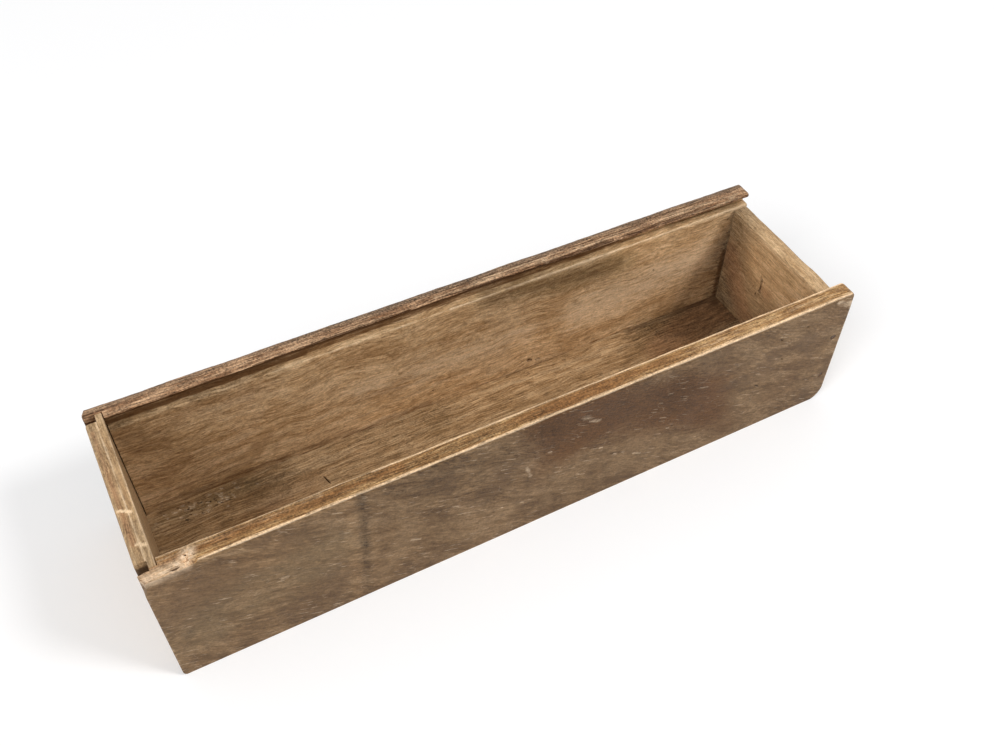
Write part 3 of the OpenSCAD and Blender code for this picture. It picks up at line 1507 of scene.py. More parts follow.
@dataclass
class FrontSide(SideBoard):
    """The front side board, with the splintered corner at the tall end."""

    node: ClassVar[str] = "front_side_board"
    piece_name: ClassVar[str] = "front_side"
    # The broken top edge: lengths from the tall end, and how far it has dropped there
    break_at: tuple[float, ...] = (0.0, 6.8, 9.3, 13.0, 15.0)
    break_drop: tuple[float, ...] = (1.6, 1.45, 0.9, 0.25, 0.0)
    # The crater beside it: middle, from the tall end and the outer face, and depth at most
    crater_at: tuple[float, float] = (11.6, 1.7)
    crater_depth: float = 1.5
    dent_depth: float = 0.14

    def own_wear(self, points: np.ndarray) -> np.ndarray:
        """Splinters the corner and dents the outer face.

        Args:
            points: One row of x, y and z per vertex.

        Returns:
            The moved points.
        """
        return self.dents(self.splinter(points))

    def pits(self) -> list[Pit]:
        """Nicks and chips in the outer face, and the holes in the splintered corner."""
        s = self.sizes
        face = self.upright(s.y_front)
        inward, down = (0.0, 1.0, 0.0), (0.0, 0.0, -1.0)
        nicks = sink(face, inward, 0.35, (186.2, 38.8, 187.0, 38.0, 0.8),
                     (195.6, 39.8, 196.5, 39.2, 0.8), (180.8, 21.2, 182.4, 20.0, 0.9),
                     (188.6, 29.4, 189.4, 28.8, 0.6))
        chips = sink(face, inward, 0.25, (99.9, 12.9, 100.9, 12.5, 0.6),
                     (93.6, 14.4, 94.3, 14.2, 0.7), (125.2, 23.1, 126.4, 22.8, 0.7),
                     (130.6, 17.3, 131.5, 16.8, 0.5), (137.6, 13.3, 140.6, 11.6, 0.5),
                     (133.6, 16.2, 134.2, 15.9, 0.45), (120.8, 37.6, 122.6, 36.9, 0.5),
                     (108.4, 31.2, 109.3, 31.0, 0.4), (30.6, 25.2, 32.4, 24.9, 0.35),
                     (66.2, 17.6, 69.0, 16.2, 0.4), (79.0, 24.8, 80.6, 24.0, 0.4),
                     (147.4, 35.2, 148.6, 34.6, 0.4), fresh=True)
        x0, y0, h = s.x_tall, s.y_front, s.height
        pocket = Pit((x0 + 7.4, y0 + 1.1, h - 1.3), (x0 + 9.2, y0 + 1.0, h - 1.0), 1.0, 1.0, down)
        hole = Pit((x0 + 11.2, y0 + 3.1, h - 0.3), (x0 + 11.5, y0 + 3.0, h - 0.3), 0.6, 1.0, down)
        return [*nicks, *chips, pocket, hole]

    def splinter(self, points: np.ndarray) -> np.ndarray:
        """Breaks the outer top edge away at the tall end and tears a crater beside it.

        Args:
            points: One row of x, y and z per vertex.

        Returns:
            The moved points.
        """
        s = self.sizes
        moved = points.copy()
        x = points[:, 0] - s.x_tall
        y = points[:, 1] - s.y_front
        top = smooth_step(points[:, 2], s.height - 1.3, s.height - 0.2)
        drop = np.interp(x, self.break_at, self.break_drop)
        across = 1.0 - smooth_step(y + 0.5 * ripple(points, (0.7, 0, 0), 2.0), 1.6, 2.5)
        rough = 0.16 * ripple(points, (0.5, 2.2, 0.0), 4.0) + 0.1 * ripple(points, (1.6, 3.0, 0), 8.0)
        moved[:, 2] -= top * across * (drop + np.where(x < 14.0, rough, 0.0))
        crater = Stroke((s.x_tall + 11.4, s.y_front + 0.2, s.height),
                        (s.x_tall + 11.9, s.y_front + 3.4, s.height), 2.5)
        out_x, out_y = x - self.crater_at[0], y - self.crater_at[1]
        angle = np.arctan2(out_y, out_x)
        rays = np.stack([1.9 * np.cos(angle), 1.9 * np.sin(angle), 0.25 * np.hypot(out_x, out_y)], 1)
        depth = 0.55 + 1.5 * ripple(rays, (1.0, 1.0, 1.0), 6.0)
        depth += 0.5 * ripple(points, (2.4, 1.2, 0), 1.0)
        moved[:, 2] -= crater.mask(points) * np.clip(depth, 0.0, self.crater_depth) * top
        return moved

    def dents(self, points: np.ndarray) -> np.ndarray:
        """Presses the old dent into the outer face and ripples the face a little.

        Args:
            points: One row of x, y and z per vertex.

        Returns:
            The moved points.
        """
        s = self.sizes
        moved = points.copy()
        outer = 1.0 - smooth_step(points[:, 1], s.y_front + 0.1, s.y_front + 0.6)
        dent = Stroke((s.x_tall + 54.0, s.y_front, s.height), (s.x_tall + 51.8, s.y_front, 4.0), 1.5)
        wave = 0.03 + 0.05 * ripple(points, (0.03, 0.0, 0.09), 12.0)
        moved[:, 1] += outer * (self.dent_depth * dent.mask(points) + np.clip(wave, 0.0, 0.1))
        return moved

    def dress(self, piece: bpy.types.Object) -> None:
        """Finishes the front side board.

        Args:
            piece: The piece.
        """
        s = self.sizes
        self.split_faces(piece)
        x0, y0, h = s.x_tall, s.y_front, s.height
        end, thick = s.length, s.side_t
        face = self.upright(y0)
        top = self.level(h, y0)
        worn = [*lay(top, (0, 0.15, 100, 0.15, 1.05, 1.0), (100, 0.2, end, 0.2, 1.2, 0.9),
                     (0, thick, 60, thick, 0.95, 1.0), (60, thick, end, thick, 1.45, 1.0),
                     (150, 2.4, end, 2.6, 3.0, 0.30), (2, 3.6, 46, 4.0, 1.6, 0.33)),
                *lay(self.level(s.z_groove, y0), (0, thick, end, thick, 1.1, 0.9)),
                *lay(face, (206, 45, end, 43, 1.8, 0.7), (end, 6, end, 42, 1.3, 0.5),
                     (2, 0, 60, 0, 0.8, 0.45), (60, 0, 207, 0, 0.9, 0.62),
                     (0.2, 2, 0.2, 44, 0.9, 0.3), (118.0, 41.0, 124.0, 36.5, 2.4, 0.36),
                     (101.5, 28.5, 103.0, 23.5, 1.5, 0.42))]
        # Grime; in the lid groove under the rail, in the notch at the tall end and in the old hollows
        # it is painted shadow as well
        grime_and_painted_shadow = [*lay(face, (54.6, 46, 53.4, 26, 1.3, 0.34), (208.2, 29.3, 208.2, 29.3, 1.5, 0.9),
                      (181.0, 20.8, 183.0, 20.0, 1.4, 0.35)),
                 *lay(self.level(s.z_rail, y0), (0, thick - 1.8, end, thick - 1.8, 1.2, 0.7)),
                 *lay(self.level(42.6, y0), (-1.0, thick - 1.8, 3.0, thick - 1.8, 3.0, 1.0)),
                 *self.linings(False)]
        tint = [*lay(face, (112, 42, 160, 28, 23.0, 0.90), (150, 30, 172, 8, 12.0, 0.5),
                     (126, 40, 104, 22, 13.0, 0.35), (0, 12, 46, 30, 22.0, -0.45),
                     (10, 0, 120, 0, 12.0, 0.25), (190, 10, 206, 40, 16.0, 0.30)),
                *lay(top, (0, thick - 2.4, 66, thick - 2.4, 2.4, 0.9),
                     (66, thick - 2.6, 150, thick - 2.6, 1.8, 0.45))]
        # Tone: painted shading with a painted highlight along the dent, darker and lighter patches, a
        # painted highlight along the top's inner arris and in the crater, the outer arris and the top
        # towards the low end lighter, and dark streaks along the top
        tone_and_painted_lighting = [*lay(face, (54.9, 46, 53.6, 24, 2.3, -0.75), (53.6, 24, 52.3, 2, 2.0, -0.55),
                      (51.2, 46, 48.8, 2, 2.6, 0.36), (112, 42, 152, 34, 18.0, -0.48),
                      (150, 34, 166, 14, 12.0, -0.22), (66, 42, 104, 42, 16.0, -0.30),
                      (0, 12, 45, 22, 26.0, 0.20), (0, 36, 30, 38, 16.0, 0.44),
                      (60, 8, 96, 8, 14.0, 0.14), (184, 28, 206, 22, 16.0, 0.24)),
                 *lay(top, (60, 0.1, end, 0.1, 0.9, 0.55), (60, thick, end, thick, 1.2, 1.0),
                      (96, 2.6, end, 2.6, 3.2, 0.34)),
                 Stroke((x0 + 10.8, y0 + 0.4, h - 0.6), (x0 + 11.9, y0 + 3.2, h), 2.4, 0.7),
                 *lay(top, (0, thick - 1.3, 62, thick - 1.3, 1.3, -0.55),
                      (0, thick - 3.2, 108, thick - 3.2, 1.2, -0.40))]
        torn = [Stroke((x0, y0 + 1.2, h - 1.1), (x0 + 9.0, y0 + 1.2, h - 0.8), 2.4, 1.0),
                Stroke((x0 + 10.6, y0 + 0.8, h - 0.2), (x0 + 12.4, y0 + 3.4, h), 2.8, 1.0),
                *self.linings(True)]
        # Marks on the outer face stay off the inner one, below the groove
        rows = vertex_rows(piece)
        inward = smooth_step(rows[:, 1], y0 + 0.8, y0 + 2.4)
        low = 1.0 - smooth_step(rows[:, 2], s.z_groove - 3.0, s.z_groove - 1.5)
        Marks(worn, grime_and_painted_shadow, tint, torn, tone_and_painted_lighting).apply(piece, inward * low)


@dataclass
class BackSide(SideBoard):
    """The back side board, with its rail worn thin and splintered."""

    node: ClassVar[str] = "back_side_board"
    piece_name: ClassVar[str] = "back_side"
    side: ClassVar[int] = 1
    close_share: float = 0.16
    corner_wear: float = 0.8
    corner_width: float = 2.2
    corner_foot: float = 41.0
    # How far the rail is worn back at most
    thin_most: float = 2.1

    def shape(self) -> bpy.types.Object:
        """Builds the back side board on the front one's side, then mirrors it."""
        piece = super().shape()
        bm = bmesh.new()
        bm.from_mesh(piece.data)
        bmesh.ops.scale(bm, vec=(1.0, -1.0, 1.0), verts=bm.verts[:])
        bmesh.ops.reverse_faces(bm, faces=bm.faces[:])
        bm.to_mesh(piece.data)
        bm.free()
        return piece

    def rail_finish(self) -> bpy.types.Material:
        """The finish of the board's top, which is greyer than the front one's."""
        return self.finishes.grey_rail

    def pits(self) -> list[Pit]:
        """Worm holes low on the wall, and cracks along the top."""
        s = self.sizes
        wall, top = self.upright(-s.y_inner), self.level(s.height - 0.05)
        holes = sink(wall, (0.0, 1.0, 0.0), 0.7, (131.2, 6.6, 131.9, 6.2, 1.35),
                     (134.3, 5.4, 135.3, 5.2, 0.95), (128.8, 6.9, 129.1, 6.8, 0.6),
                     (97.0, 9.5, 97.3, 9.2, 0.6), (177.2, 27.2, 177.5, 26.9, 0.6))
        cracks = sink(top, (0.0, 0.0, -1.0), 0.7, (60.0, 24.5, 92.0, 24.4, 0.45),
                      (100.0, 24.6, 124.0, 24.3, 0.6), (126.0, 24.5, 160.0, 24.1, 0.7),
                      (142.0, 26.4, 184.0, 26.0, 0.65), (164.0, 24.2, 199.0, 24.0, 0.6),
                      (166.0, 27.0, 200.0, 26.6, 0.5), (96.0, 26.8, 136.0, 26.6, 0.5),
                      (150.0, 25.3, 170.0, 25.1, 0.35), (176.0, 25.5, 196.0, 25.2, 0.4))
        return [*holes, *cracks]

    def splits(self, points: np.ndarray) -> np.ndarray:
        """How deep the splits along the rail's inner face are.

        Args:
            points: One row of x, y and z per vertex.

        Returns:
            Depths in millimetres.
        """
        x = points[:, 0] - self.sizes.x_tall
        share = np.interp(x, [0, 100, 125, 190, 206], [0.25, 0.45, 1.0, 0.9, 0.3])
        level = points[:, 2] - 0.018 * (x - 120.0)
        rows = np.stack([points[:, 0], points[:, 1], level], axis=1)
        fold = np.abs(ripple(rows, (0.035, 0.0, 0.85), 21.0))
        return share * (0.85 * (1.0 - smooth_step(fold, 0.02, 0.22))
                        + 0.25 * np.abs(ripple(rows, (0.3, 0.0, 1.2), 5.0)))

    def own_wear(self, points: np.ndarray) -> np.ndarray:
        """Wears the rail back from the tall end to the middle, and roughens it beyond.

        Args:
            points: One row of x, y and z per vertex, on the front board's side.

        Returns:
            The moved points.
        """
        s = self.sizes
        moved = points.copy()
        x = points[:, 0] - s.x_tall
        rail = smooth_step(points[:, 2], s.z_rail - 0.15, s.z_rail - 0.05)
        inner = smooth_step(points[:, 1], s.y_inner - 2.3, s.y_inner - 0.2)
        under = smooth_step(s.height - points[:, 2], 0.3, 2.1)
        thin = np.interp(x, [0, 20, 120, 150, 185, 212], [1.0, 1.0, 0.9, 0.5, 0.1, 0.0])
        face = np.interp(x, [0, 40, 70, 120, 212], [0.1, 0.2, 0.6, 0.6, 0.0])
        worn = face * thin + (1.95 - face) * thin * under + self.splits(points)
        moved[:, 1] -= rail * inner * np.clip(worn, 0.0, self.thin_most)
        return moved

    def dress(self, piece: bpy.types.Object) -> None:
        """Finishes the back side board.

        Args:
            piece: The piece.
        """
        s = self.sizes
        self.split_faces(piece)
        x0, h = s.x_tall, s.height
        yi, end, thick = -s.y_inner, s.length, s.side_t
        wall = self.upright(yi)
        top, lip = self.level(h, yi), self.level(s.z_groove, yi)
        worn = [*lay(lip, (0, 0, 50, 0, 0.9, 0.30), (50, 0, 104, 0, 0.9, 0.55),
                     (104, 0, end, 0, 1.0, 0.85)),
                *lay(top, (6, 1.0, 100, 1.0, 1.4, 0.34), (100, 1.5, end - 4, 1.4, 1.4, 0.44),
                     (112, 2.7, 150, 2.5, 0.7, 0.50), (160, 2.5, 196, 2.2, 0.7, 0.50)),
                *lay(wall, (150, 20, 198, 26, 21.0, 0.50), (74, 22, 130, 20, 15.0, 0.40)),
                *lay(self.level(h - 1.0, yi), (176, 0.3, end - 4, 0.3, 1.2, 0.5)),
                Stroke((x0 + 136.2, yi + 1.4, h), (x0 + 137.6, yi - 0.4, h - 1.8), 1.2, 1.0),
                Stroke((x0 + 204, yi, 46.5), (s.x_low, yi + 3, 46.0), 1.6, 0.6)]
        # Grime; under the rail and deep in the lid groove, in the notch at the tall end, along the
        # wall's foot, in the corner by the low end board and in the old hollows it is painted shadow as
        # well
        grime_and_painted_shadow = [*lay(self.level(s.z_rail - 0.2, yi), (0, 2.4, 170, 2.4, 2.4, 1.0)),
                 *lay(lip, (0, 2.6, 60, 2.6, 1.2, 0.8), (60, 2.6, 206, 2.6, 0.8, 0.5)),
                 *lay(wall, (116, 41, 162, 36, 8.5, 0.40), (10, 38, 60, 38, 6.0, 0.24),
                      (12, 20, 60, 17, 5.0, 0.22), (8, 5.2, 96, 4.6, 2.2, 0.46),
                      (4, 8.6, 70, 9.6, 1.5, 0.40), (70, 9.6, 112, 13.0, 1.6, 0.42),
                      (80, 15.0, 116, 18.5, 1.3, 0.36), (206, 3, 206, 24, 2.6, 0.55),
                      (5, 3, 206, 3, 1.1, 0.45), (131.2, 6.6, 131.9, 6.2, 1.3, 0.8),
                      (134.3, 5.4, 135.3, 5.2, 1.0, 0.7)),
                 Stroke((x0 + 150, yi + 2.4, s.z_rail - 0.2), (x0 + 206, yi + 2.4, s.z_rail), 1.8, 0.8),
                 *lay(self.level(s.z_rail, yi), (4, 1.0, 150, 1.4, 1.2, 0.85)),
                 *lay(self.level(43.2, yi), (-1.0, 1.6, 3.0, 1.6, 3.2, 1.0)),
                 *lay(self.level(h - 0.4, yi), (98, 0.2, 150, 0.1, 1.0, 0.52),
                      (150, 0.2, 196, 0.1, 0.9, 0.36)),
                 *self.linings(False)]
        tint = [*lay(wall, (116, 41, 165, 35, 10.0, -0.9), (4, 38, 44, 38, 12.0, 0.35),
                     (10, 12, 40, 20, 16.0, 0.30)),
                *lay(top, (0, thick - 1.0, end, thick - 1.0, 3.2, -0.8))]
        # Tone: darker and lighter patches on the wall, painted shadow of the low end board over the
        # wall's low end corner, darker along the wall's foot and on the ledge under the rail near the
        # tall end, and darker and lighter bands along the top
        tone_and_painted_lighting = [*lay(wall, (20, 30, 30, 38, 18.0, -0.12), (4, 38, 44, 38, 9.0, -0.30),
                      (76, 8, 108, 10, 10.0, 0.32), (120, 40, 160, 36, 9.0, -0.45),
                      (166, 39, 194, 30, 14.0, 0.50), (130, 16, 184, 14, 14.0, 0.30),
                      (204, 26, 190, 3, 7.0, -0.35), (206, 3, 206, 28, 8.0, -0.35),
                      (206, 3, 206, 41, 8.0, -0.35), (6, 5, 60, 4.5, 3.0, -0.22)),
                 *lay(lip, (0, 0.9, 52, 0.9, 2.6, -0.55)),
                 *lay(top, (0, thick - 1.2, 50, thick - 1.2, 1.4, 0.25),
                      (56, thick - 0.9, 112, thick - 0.9, 2.3, -0.62),
                      (112, thick - 0.8, end, thick - 0.8, 1.7, -0.45),
                      (0, 1.2, 56, 1.2, 1.2, 0.30))]
        # Marks on the inner face stay off the outer one, below the rail
        rows = vertex_rows(piece)
        outward = smooth_step(rows[:, 1], yi + thick - 2.4, yi + thick - 0.8)
        low = 1.0 - smooth_step(rows[:, 2], s.z_rail - 1.0, s.z_rail + 0.5)
        Marks(worn, grime_and_painted_shadow, tint, (), tone_and_painted_lighting).apply(piece, outward * low)


@dataclass
class TallEnd(BoxPart):
    """The tall end board, with its tongue in the side boards."""

    node: ClassVar[str] = "tall_end_board"
    piece_name: ClassVar[str] = "tall_end"
    slot: ClassVar[str] = "end_wood"
    edge_round: float = 0.3

    def shape(self) -> bpy.types.Object:
        """Builds the tall end board from its plan."""
        s = self.sizes
        reach = -s.y_inner + s.tongue_d
        plan = [(s.x_tall, s.y_inner), (s.x_tongue, s.y_inner), (s.x_tongue, -reach),
                (s.x_tall_inner, -reach), (s.x_tall_inner, reach), (s.x_tongue, reach),
                (s.x_tongue, -s.y_inner), (s.x_tall, -s.y_inner)]
        board = Board(plan, Axis.Z, s.bottom_t, s.height)
        board.round_edges(self.edge_round, 3)
        board.slice(Axis.Y, np.arange(-25.5, 25.6, 0.6))
        board.slice(Axis.X, np.arange(s.x_tall + 0.6, s.x_tall_inner - 0.3, 0.45))
        board.slice(Axis.Z, [*np.arange(5.0, 45.0, 2.0), 45.6, 46.2])
        points = board.points()
        moved = points.copy()
        top = smooth_step(points[:, 2], s.height - 1.2, s.height - 0.1)
        sag = 0.10 + 0.10 * ripple(points, (0.3, 0.12, 0), 3.0)
        sag += 0.05 * ripple(points, (1.5, 0.2, 0), 5.0)
        moved[:, 2] -= top * np.clip(sag, 0.0, 0.4)
        outer = Stroke((s.x_tall, -24, s.height), (s.x_tall, 24, s.height), 1.4)
        bite = np.clip(0.25 + 0.2 * ripple(points, (0, 0.16, 0), 7.0), 0.05, 0.6)
        wear_arris(points, moved, outer, bite, Axis.X, 1.0)
        board.place(moved)
        piece = board.finish(self.piece_name)
        tool = Cutter()
        self.drill_up(tool, self.foot_brads(s.x_tall_inner - self.brads.foot_inset))
        tool.cut(piece)
        return piece

    def dress(self, piece: bpy.types.Object) -> None:
        """Finishes the tall end board.

        Args:
            piece: The piece.
        """
        s = self.sizes
        self.coat(piece, self.finishes.end)
        inner = s.tall_end_t
        tongue = inner - s.tongue_t
        middle = tongue + s.tongue_t / 2
        top = self.level(s.height)
        worn = lay(top, (0, -24, 0, 24, 0.8, 0.55), (tongue, -26, tongue, 26, 0.5, 0.8),
                   (inner, -26, inner, 26, 0.7, 0.70), (0.2, -6.4, 3.6, -8.4, 0.75, 1.0),
                   (2.2, -18.1, 4.2, -19.2, 0.8, 1.0))
        # Grime; along the foot of the inner face and in the notches at both sides it is painted shadow
        # as well
        grime_and_painted_shadow = [*lay(self.level(s.bottom_t), (inner, -26, inner, 26, 4.0, 0.4)),
                 *lay(self.level(43.0), (-0.5, -23.5, tongue, -23.5, 3.7, 1.0),
                      (-0.5, 23.5, tongue, 23.5, 3.7, 1.0))]
        tint = lay(top, (1.6, -18, 1.2, 20, 1.5, 0.75))
        tone_and_painted_lighting = lay(top, (middle, -8, middle, 6, 1.3, 0.40), (middle, -26, middle, -12, 1.6, -0.35),
                    (1.4, 8, 1.4, 24, 2.2, -0.35), (1.4, -24, 1.4, -12, 2.2, -0.25),
                    (0.6, -7.0, 3.2, -8.4, 0.9, 0.8), (2.4, -18.4, 4.0, -19.2, 0.9, 0.8))
        Marks(worn, grime_and_painted_shadow, tint, (), tone_and_painted_lighting).apply(piece)


@dataclass
class LowEnd(BoxPart):
    """The low end board, which the lid passed over."""

    node: ClassVar[str] = "low_end_board"
    piece_name: ClassVar[str] = "low_end"
    slot: ClassVar[str] = "end_wood"
    edge_round: float = 0.4
    rows: int = 90

    def shape(self) -> bpy.types.Object:
        """Builds the low end board from its side view."""
        s = self.sizes
        view = [(s.x_low_inner, s.bottom_t), (s.x_low_face, s.bottom_t),
                (s.x_low_face, s.z_low_top), (s.x_low_inner, s.z_low_top)]
        board = Board(view, Axis.Y, s.y_inner, -s.y_inner - s.open_joint)
        board.round_edges(self.edge_round, 3)
        board.slice(Axis.Z, [*np.arange(4.0, 40.6, 0.7), 41.0])
        board.slice(Axis.X, np.arange(s.x_low_inner + 0.7, s.x_low_face - 0.5, 0.6))
        board.comb(self.rows, 20.0)
        points = board.points()
        moved = points.copy()
        for x, seed, inward in ((s.x_low_inner, 3.0, 1.0), (s.x_low_face, 8.0, -1.0)):
            arris = Stroke((x, -24, s.z_low_top), (x, 24, s.z_low_top), 1.6)
            bite = np.clip(0.22 + 0.2 * ripple(points, (0, 0.14, 0), seed), 0.02, 0.6)
            wear_arris(points, moved, arris, bite, Axis.X, inward)
        board.place(moved)
        piece = board.finish(self.piece_name)
        self.cutter().cut(piece)
        return piece

    def pits(self) -> list[Pit]:
        """The crack in the inner face, and the worm holes round it."""
        face = self.across(self.sizes.x_low_inner)
        return sink(face, (1.0, 0.0, 0.0), 0.8, (3.9, 28.1, 3.2, 25.6, 0.95),
                    (3.2, 24.5, 3.4, 22.0, 0.8), (2.2, 26.9, 1.7, 27.3, 0.6),
                    (4.6, 20.4, 4.7, 20.1, 0.6), (-2.0, 27.2, -2.1, 27.0, 0.6),
                    (6.2, 22.4, 6.3, 22.2, 0.4))

    def cutter(self) -> Cutter:
        """The brads' holes in the low end board."""
        tool = Cutter()
        for side in (-1, 1):
            self.drill_in(tool, side)
        self.drill_up(tool, self.foot_brads(self.sizes.x_low_inner + self.brads.foot_inset))
        return tool

    def dress(self, piece: bpy.types.Object) -> None:
        """Finishes the low end board.

        Args:
            piece: The piece.
        """
        s = self.sizes
        self.coat(piece, self.finishes.end)
        h = s.z_low_top
        face = self.across(s.x_low_inner)
        worn = [*lay(face, (-24, h, 24, h, 0.8, 0.9)),
                *lay(self.across(s.x_low_inner + 2.2), (-24, h, 24, h, 2.2, 0.30))]
        # Grime along the outer top edge and in the crack; in the back corner, at its foot and in the
        # old hollows it is painted shadow as well
        grime_and_painted_shadow = [*lay(self.across(s.x_low_face), (-24, h - 0.2, 24, h - 0.2, 1.0, 0.5)),
                 *lay(face, (3.2, 27.4, 3.0, 21.3, 1.5, 0.45), (23.8, 3, 23.6, 26, 1.9, 0.85),
                      (23.8, 26, 23.6, 41, 1.2, 0.75), (17, 3, 24, 9, 5.0, 0.40)),
                 *self.linings(False)]
        tint = lay(face, (0, 24, 0, 24, 9.0, 0.55), (8, 8, 20, 24, 12.0, 0.85),
                   (-10, 38, 20, 38, 6.0, -0.35))
        # Tone: painted light and shadow over the inner face, lighter high up towards the front and
        # darker towards the back corner and the foot
        tone_and_painted_lighting = lay(face, (-22, 34, 2, 32, 15.0, 0.9), (-12, 32, 5, 34, 13.0, 1.0),
                    (20, 6, 22, 38, 13.0, -0.75), (6, 5, 22, 8, 11.0, -0.45))
        Marks(worn, grime_and_painted_shadow, tint, (), tone_and_painted_lighting).apply(piece)


@dataclass
class Bottom(BoxPart):
    """The bottom board, let into the side boards."""

    node: ClassVar[str] = "bottom_board"
    piece_name: ClassVar[str] = "bottom"
    slot: ClassVar[str] = "bottom_wood"
    rows: int = 260
    # The pocked patch: number of pocks, middle and spread from the tall end and in Y, and
    # the Y that none passes
    pocks: int = 72
    patch_middle: tuple[float, float] = (21.0, 19.2)
    patch_spread: tuple[float, float] = (7.5, 1.9)
    patch_edge: float = 22.6

    def shape(self) -> bpy.types.Object:
        """Builds the bottom board from its cross-section."""
        s = self.sizes
        half = -s.y_inner + s.rebate_d
        section = [(-half, 0.0), (half, 0.0), (half, s.bottom_t), (-half, s.bottom_t)]
        board = Board(section, Axis.X, s.x_tall, s.x_low)
        board.slice(Axis.Z, [0.1, 0.5, 1.1, 1.9])
        board.slice(Axis.Y, np.arange(-half + 1.0, half - 0.5, 0.8))
        board.comb(self.rows, 50.0)
        points = board.points()
        moved = points.copy()
        top = smooth_step(points[:, 2], 2.6, 3.0)
        moved[:, 2] -= top * np.clip(0.03 + 0.04 * ripple(points, (0.03, 0.2, 0), 2.0), 0.0, 0.1)
        board.place(self.end_shrink(moved))
        piece = board.finish(self.piece_name)
        self.cutter().cut(piece)
        return piece

    def pits(self) -> list[Pit]:
        """The nick in the floor of the box, and the pocked patch at the tall end."""
        x, t = self.sizes.x_tall, self.sizes.bottom_t
        down = (0.0, 0.0, -1.0)
        found = [Pit((x + 55.4, 12.9, t), (x + 56.3, 9.4, t), 0.55, 0.7, down)]
        chance = np.random.default_rng(11)
        for i in range(self.pocks):
            u, v = chance.normal(self.patch_middle, self.patch_spread)
            v = min(v, self.patch_edge)
            length, width = chance.uniform((0.2, 0.25), (0.9, 0.5))
            fresh = i % 5 > 1
            found.append(Pit((x + u, v, t), (x + u + length, v - 0.2, t), width, 0.3, down, fresh))
        return found

    def cutter(self) -> Cutter:
        """The brads' holes in the bottom board."""
        s, b = self.sizes, self.brads
        tool = Cutter()
        y = -s.y_inner + s.rebate_d / 2
        self.drill_up(tool, [(x, side * y) for x in self.side_brads() for side in (-1, 1)])
        for x in (s.x_tall_inner - b.foot_inset, s.x_low_inner + b.foot_inset):
            self.drill_up(tool, self.foot_brads(x))
        return tool

    def dress(self, piece: bpy.types.Object) -> None:
        """Finishes the bottom board.

        Args:
            piece: The piece.
        """
        self.coat(piece, self.finishes.floor)
        floor = self.level(self.sizes.bottom_t)
        # Grime; along the back wall's foot, in the corner by the low end board and in the old hollows
        # it is painted shadow as well
        grime_and_painted_shadow = [*lay(floor, (6, 15, 34, 15, 5.0, 0.32), (30, 11, 62, 10, 3.0, 0.30),
                      (8, 22, 34, 22, 2.0, 0.40), (170, 22.5, 206, 22, 3.0, 0.42),
                      (5, 23.4, 206, 23.4, 1.0, 0.40), (204, 21, 207, 23, 4.5, 0.60),
                      (186, 23.4, 206, 23.4, 2.2, 0.5)),
                 *self.linings(False)]
        tint = lay(floor, (8, 19, 36, 20, 6.0, -0.6), (60, 10, 100, 14, 9.0, -0.3),
                   (176, 10, 204, 18, 14.0, 1.0), (198, 20, 206, 14, 6.0, 1.0),
                   (30, 8, 70, 16, 9.0, 0.4))
        # Tone: darker bands towards the tall end, and painted shadow with grime by the low end board
        tone_and_painted_lighting = lay(floor, (4, 16, 40, 18, 16.0, -0.35), (40, 17, 96, 19, 14.0, -0.50),
                    (208, 12, 182, 22, 26.0, -1.0), (206, 17, 186, 23, 14.0, -0.8))
        Marks((), grime_and_painted_shadow, tint, self.linings(True), tone_and_painted_lighting).apply(piece)


@dataclass
class Brads:
    """The brads: the CAD nodes themselves, in rusty iron."""

    nodes: ClassVar[tuple[str, ...]] = ("end_brads_front", "end_brads_back", "bottom_brads_front",
                                        "bottom_brads_back", "bottom_brads_ends")
    finishes: Finishes

    def build(self) -> None:
        """Gives every brad node the iron finish."""
        for name in self.nodes:
            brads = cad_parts[name]
            brads.data.materials.clear()
            brads.data.materials.append(self.finishes.iron)
            LOG.info("%s: CAD node in iron", name)


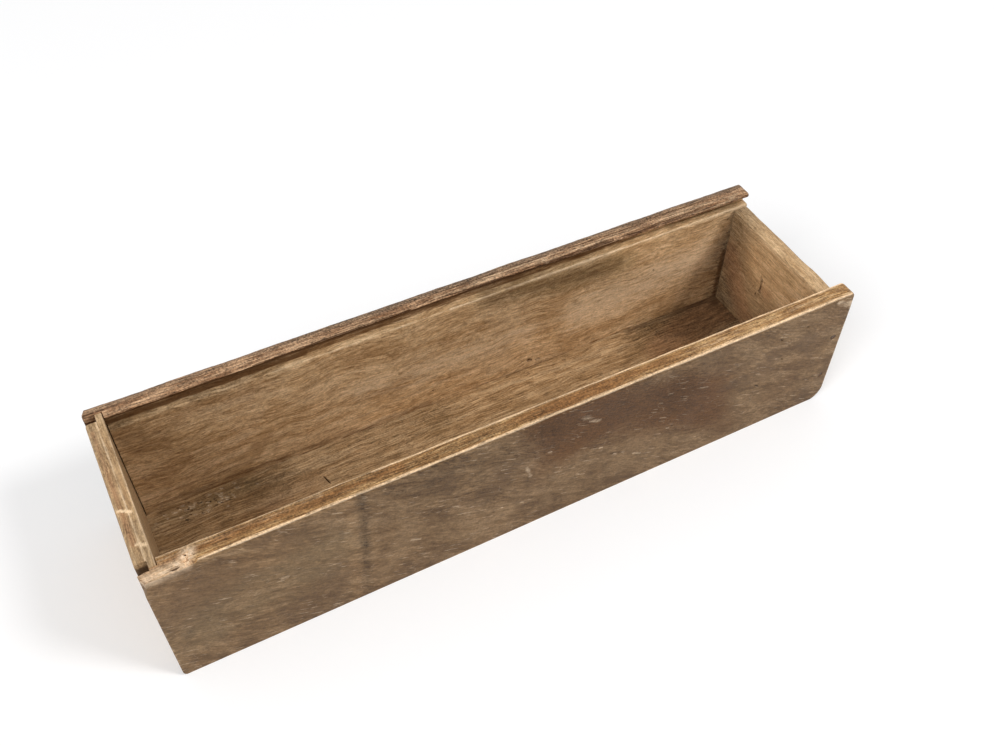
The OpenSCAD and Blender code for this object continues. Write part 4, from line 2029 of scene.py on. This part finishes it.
@dataclass
class Studio:
    """Floor, world, lamps and camera."""

    camera_at: Point = (-0.09154, -0.17690, 0.25888)
    look: Point = (0.33056, 0.56177, -0.75838)
    right: Point = (0.87762, -0.47854, 0.02806)
    lens: float = 37.855
    shift: tuple[float, float] = (-0.03313, 0.02209)
    floor_size: float = 6.0
    floor_colour: Colour = (0.82, 0.82, 0.825)
    floor_glow: float = 0.20
    world_level: float = 0.54
    lamps_from: tuple[Point, ...] = ((0.68, -0.62, 1.00), (-1.00, -0.50, 0.90))
    lamp_powers: tuple[float, ...] = (15.0, 16.5)
    lamp_sizes: tuple[float, ...] = (0.50, 1.00)
    lamp_distance: float = 2.0

    def build(self) -> None:
        """Sets up everything round the object."""
        self.view_settings()
        self.floor()
        self.world()
        self.lamps()
        self.camera()
        LOG.info("studio ready")

    def view_settings(self) -> None:
        """Shows colours as they are written."""
        bpy.context.scene.view_settings.view_transform = "Standard"

    def floor(self) -> None:
        """A pale floor that keeps the object's shadow."""
        bm = bmesh.new()
        bmesh.ops.create_grid(bm, x_segments=1, y_segments=1, size=self.floor_size / 2)
        floor = object_from(bm, "pale_floor")
        made, build = empty_material("pale_floor")
        seen = build.node("ShaderNodeLightPath").outputs
        watched = build.plus(seen["Is Camera Ray"], seen["Is Glossy Ray"], clamp=True)
        diffuse = build.node("ShaderNodeBsdfDiffuse")
        build.feed(diffuse.inputs["Color"], self.floor_colour)
        glow = build.node("ShaderNodeEmission")
        build.feed(glow.inputs["Color"], (1.0, 1.0, 1.0))
        build.feed(glow.inputs["Strength"], build.times(watched, self.floor_glow))
        both = build.node("ShaderNodeAddShader")
        build.feed(both.inputs[0], diffuse.outputs[0])
        build.feed(both.inputs[1], glow.outputs[0])
        build.end_in("ShaderNodeOutputMaterial", both.outputs[0])
        floor.data.materials.append(made)

    def world(self) -> None:
        """Even light from all round, and white where the camera sees it."""
        world = bpy.data.worlds.new("studio")
        world.use_nodes = True
        world.node_tree.nodes.clear()
        bpy.context.scene.world = world
        build = Tree(world.node_tree)
        seen = build.node("ShaderNodeLightPath").outputs
        rays = build.plus(seen["Is Camera Ray"], seen["Is Glossy Ray"], clamp=True)
        level = build.plus(build.times(rays, 1.0 - self.world_level),
                           self.world_level)
        background = build.node("ShaderNodeBackground")
        build.feed(background.inputs["Color"], (1.0, 1.0, 1.0))
        build.feed(background.inputs["Strength"], level)
        build.end_in("ShaderNodeOutputWorld", background.outputs[0])

    def lamps(self) -> None:
        """Large soft lamps in front of the box, on both sides."""
        for place, power, size in zip(self.lamps_from, self.lamp_powers, self.lamp_sizes):
            light = bpy.data.lights.new("softbox", "AREA")
            light.shape = "DISK"
            light.size = size
            light.energy = power
            lamp = bpy.data.objects.new("softbox", light)
            bpy.context.scene.collection.objects.link(lamp)
            toward = Vector(place).normalized()
            lamp.location = toward * self.lamp_distance
            lamp.rotation_euler = toward.to_track_quat("Z", "Y").to_euler()

    def camera(self) -> None:
        """The photograph's camera."""
        data = bpy.data.cameras.new("camera")
        data.sensor_fit = "HORIZONTAL"
        data.sensor_width = 36.0
        data.lens = self.lens
        data.shift_x, data.shift_y = self.shift
        data.clip_start = 0.01
        made = bpy.data.objects.new("camera", data)
        bpy.context.scene.collection.objects.link(made)
        ahead = Vector(self.look).normalized()
        right = Vector(self.right).normalized()
        up = right.cross(ahead).normalized()
        turn = Matrix((right, up, -ahead)).transposed().to_4x4()
        made.matrix_world = Matrix.Translation(self.camera_at) @ turn
        bpy.context.scene.camera = made


def main() -> None:
    """Builds the whole scene in order."""
    logging.basicConfig(level=logging.INFO, format="%(name)s %(message)s")
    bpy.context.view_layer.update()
    sizes = BoxSizes()
    brads = BradSizes()
    finishes = Finishes()
    for part in (FrontSide, BackSide, TallEnd, LowEnd, Bottom):
        part(sizes, brads, finishes).build()
    Brads(finishes).build()
    Studio().build()


if __name__ == "__main__":
    main()
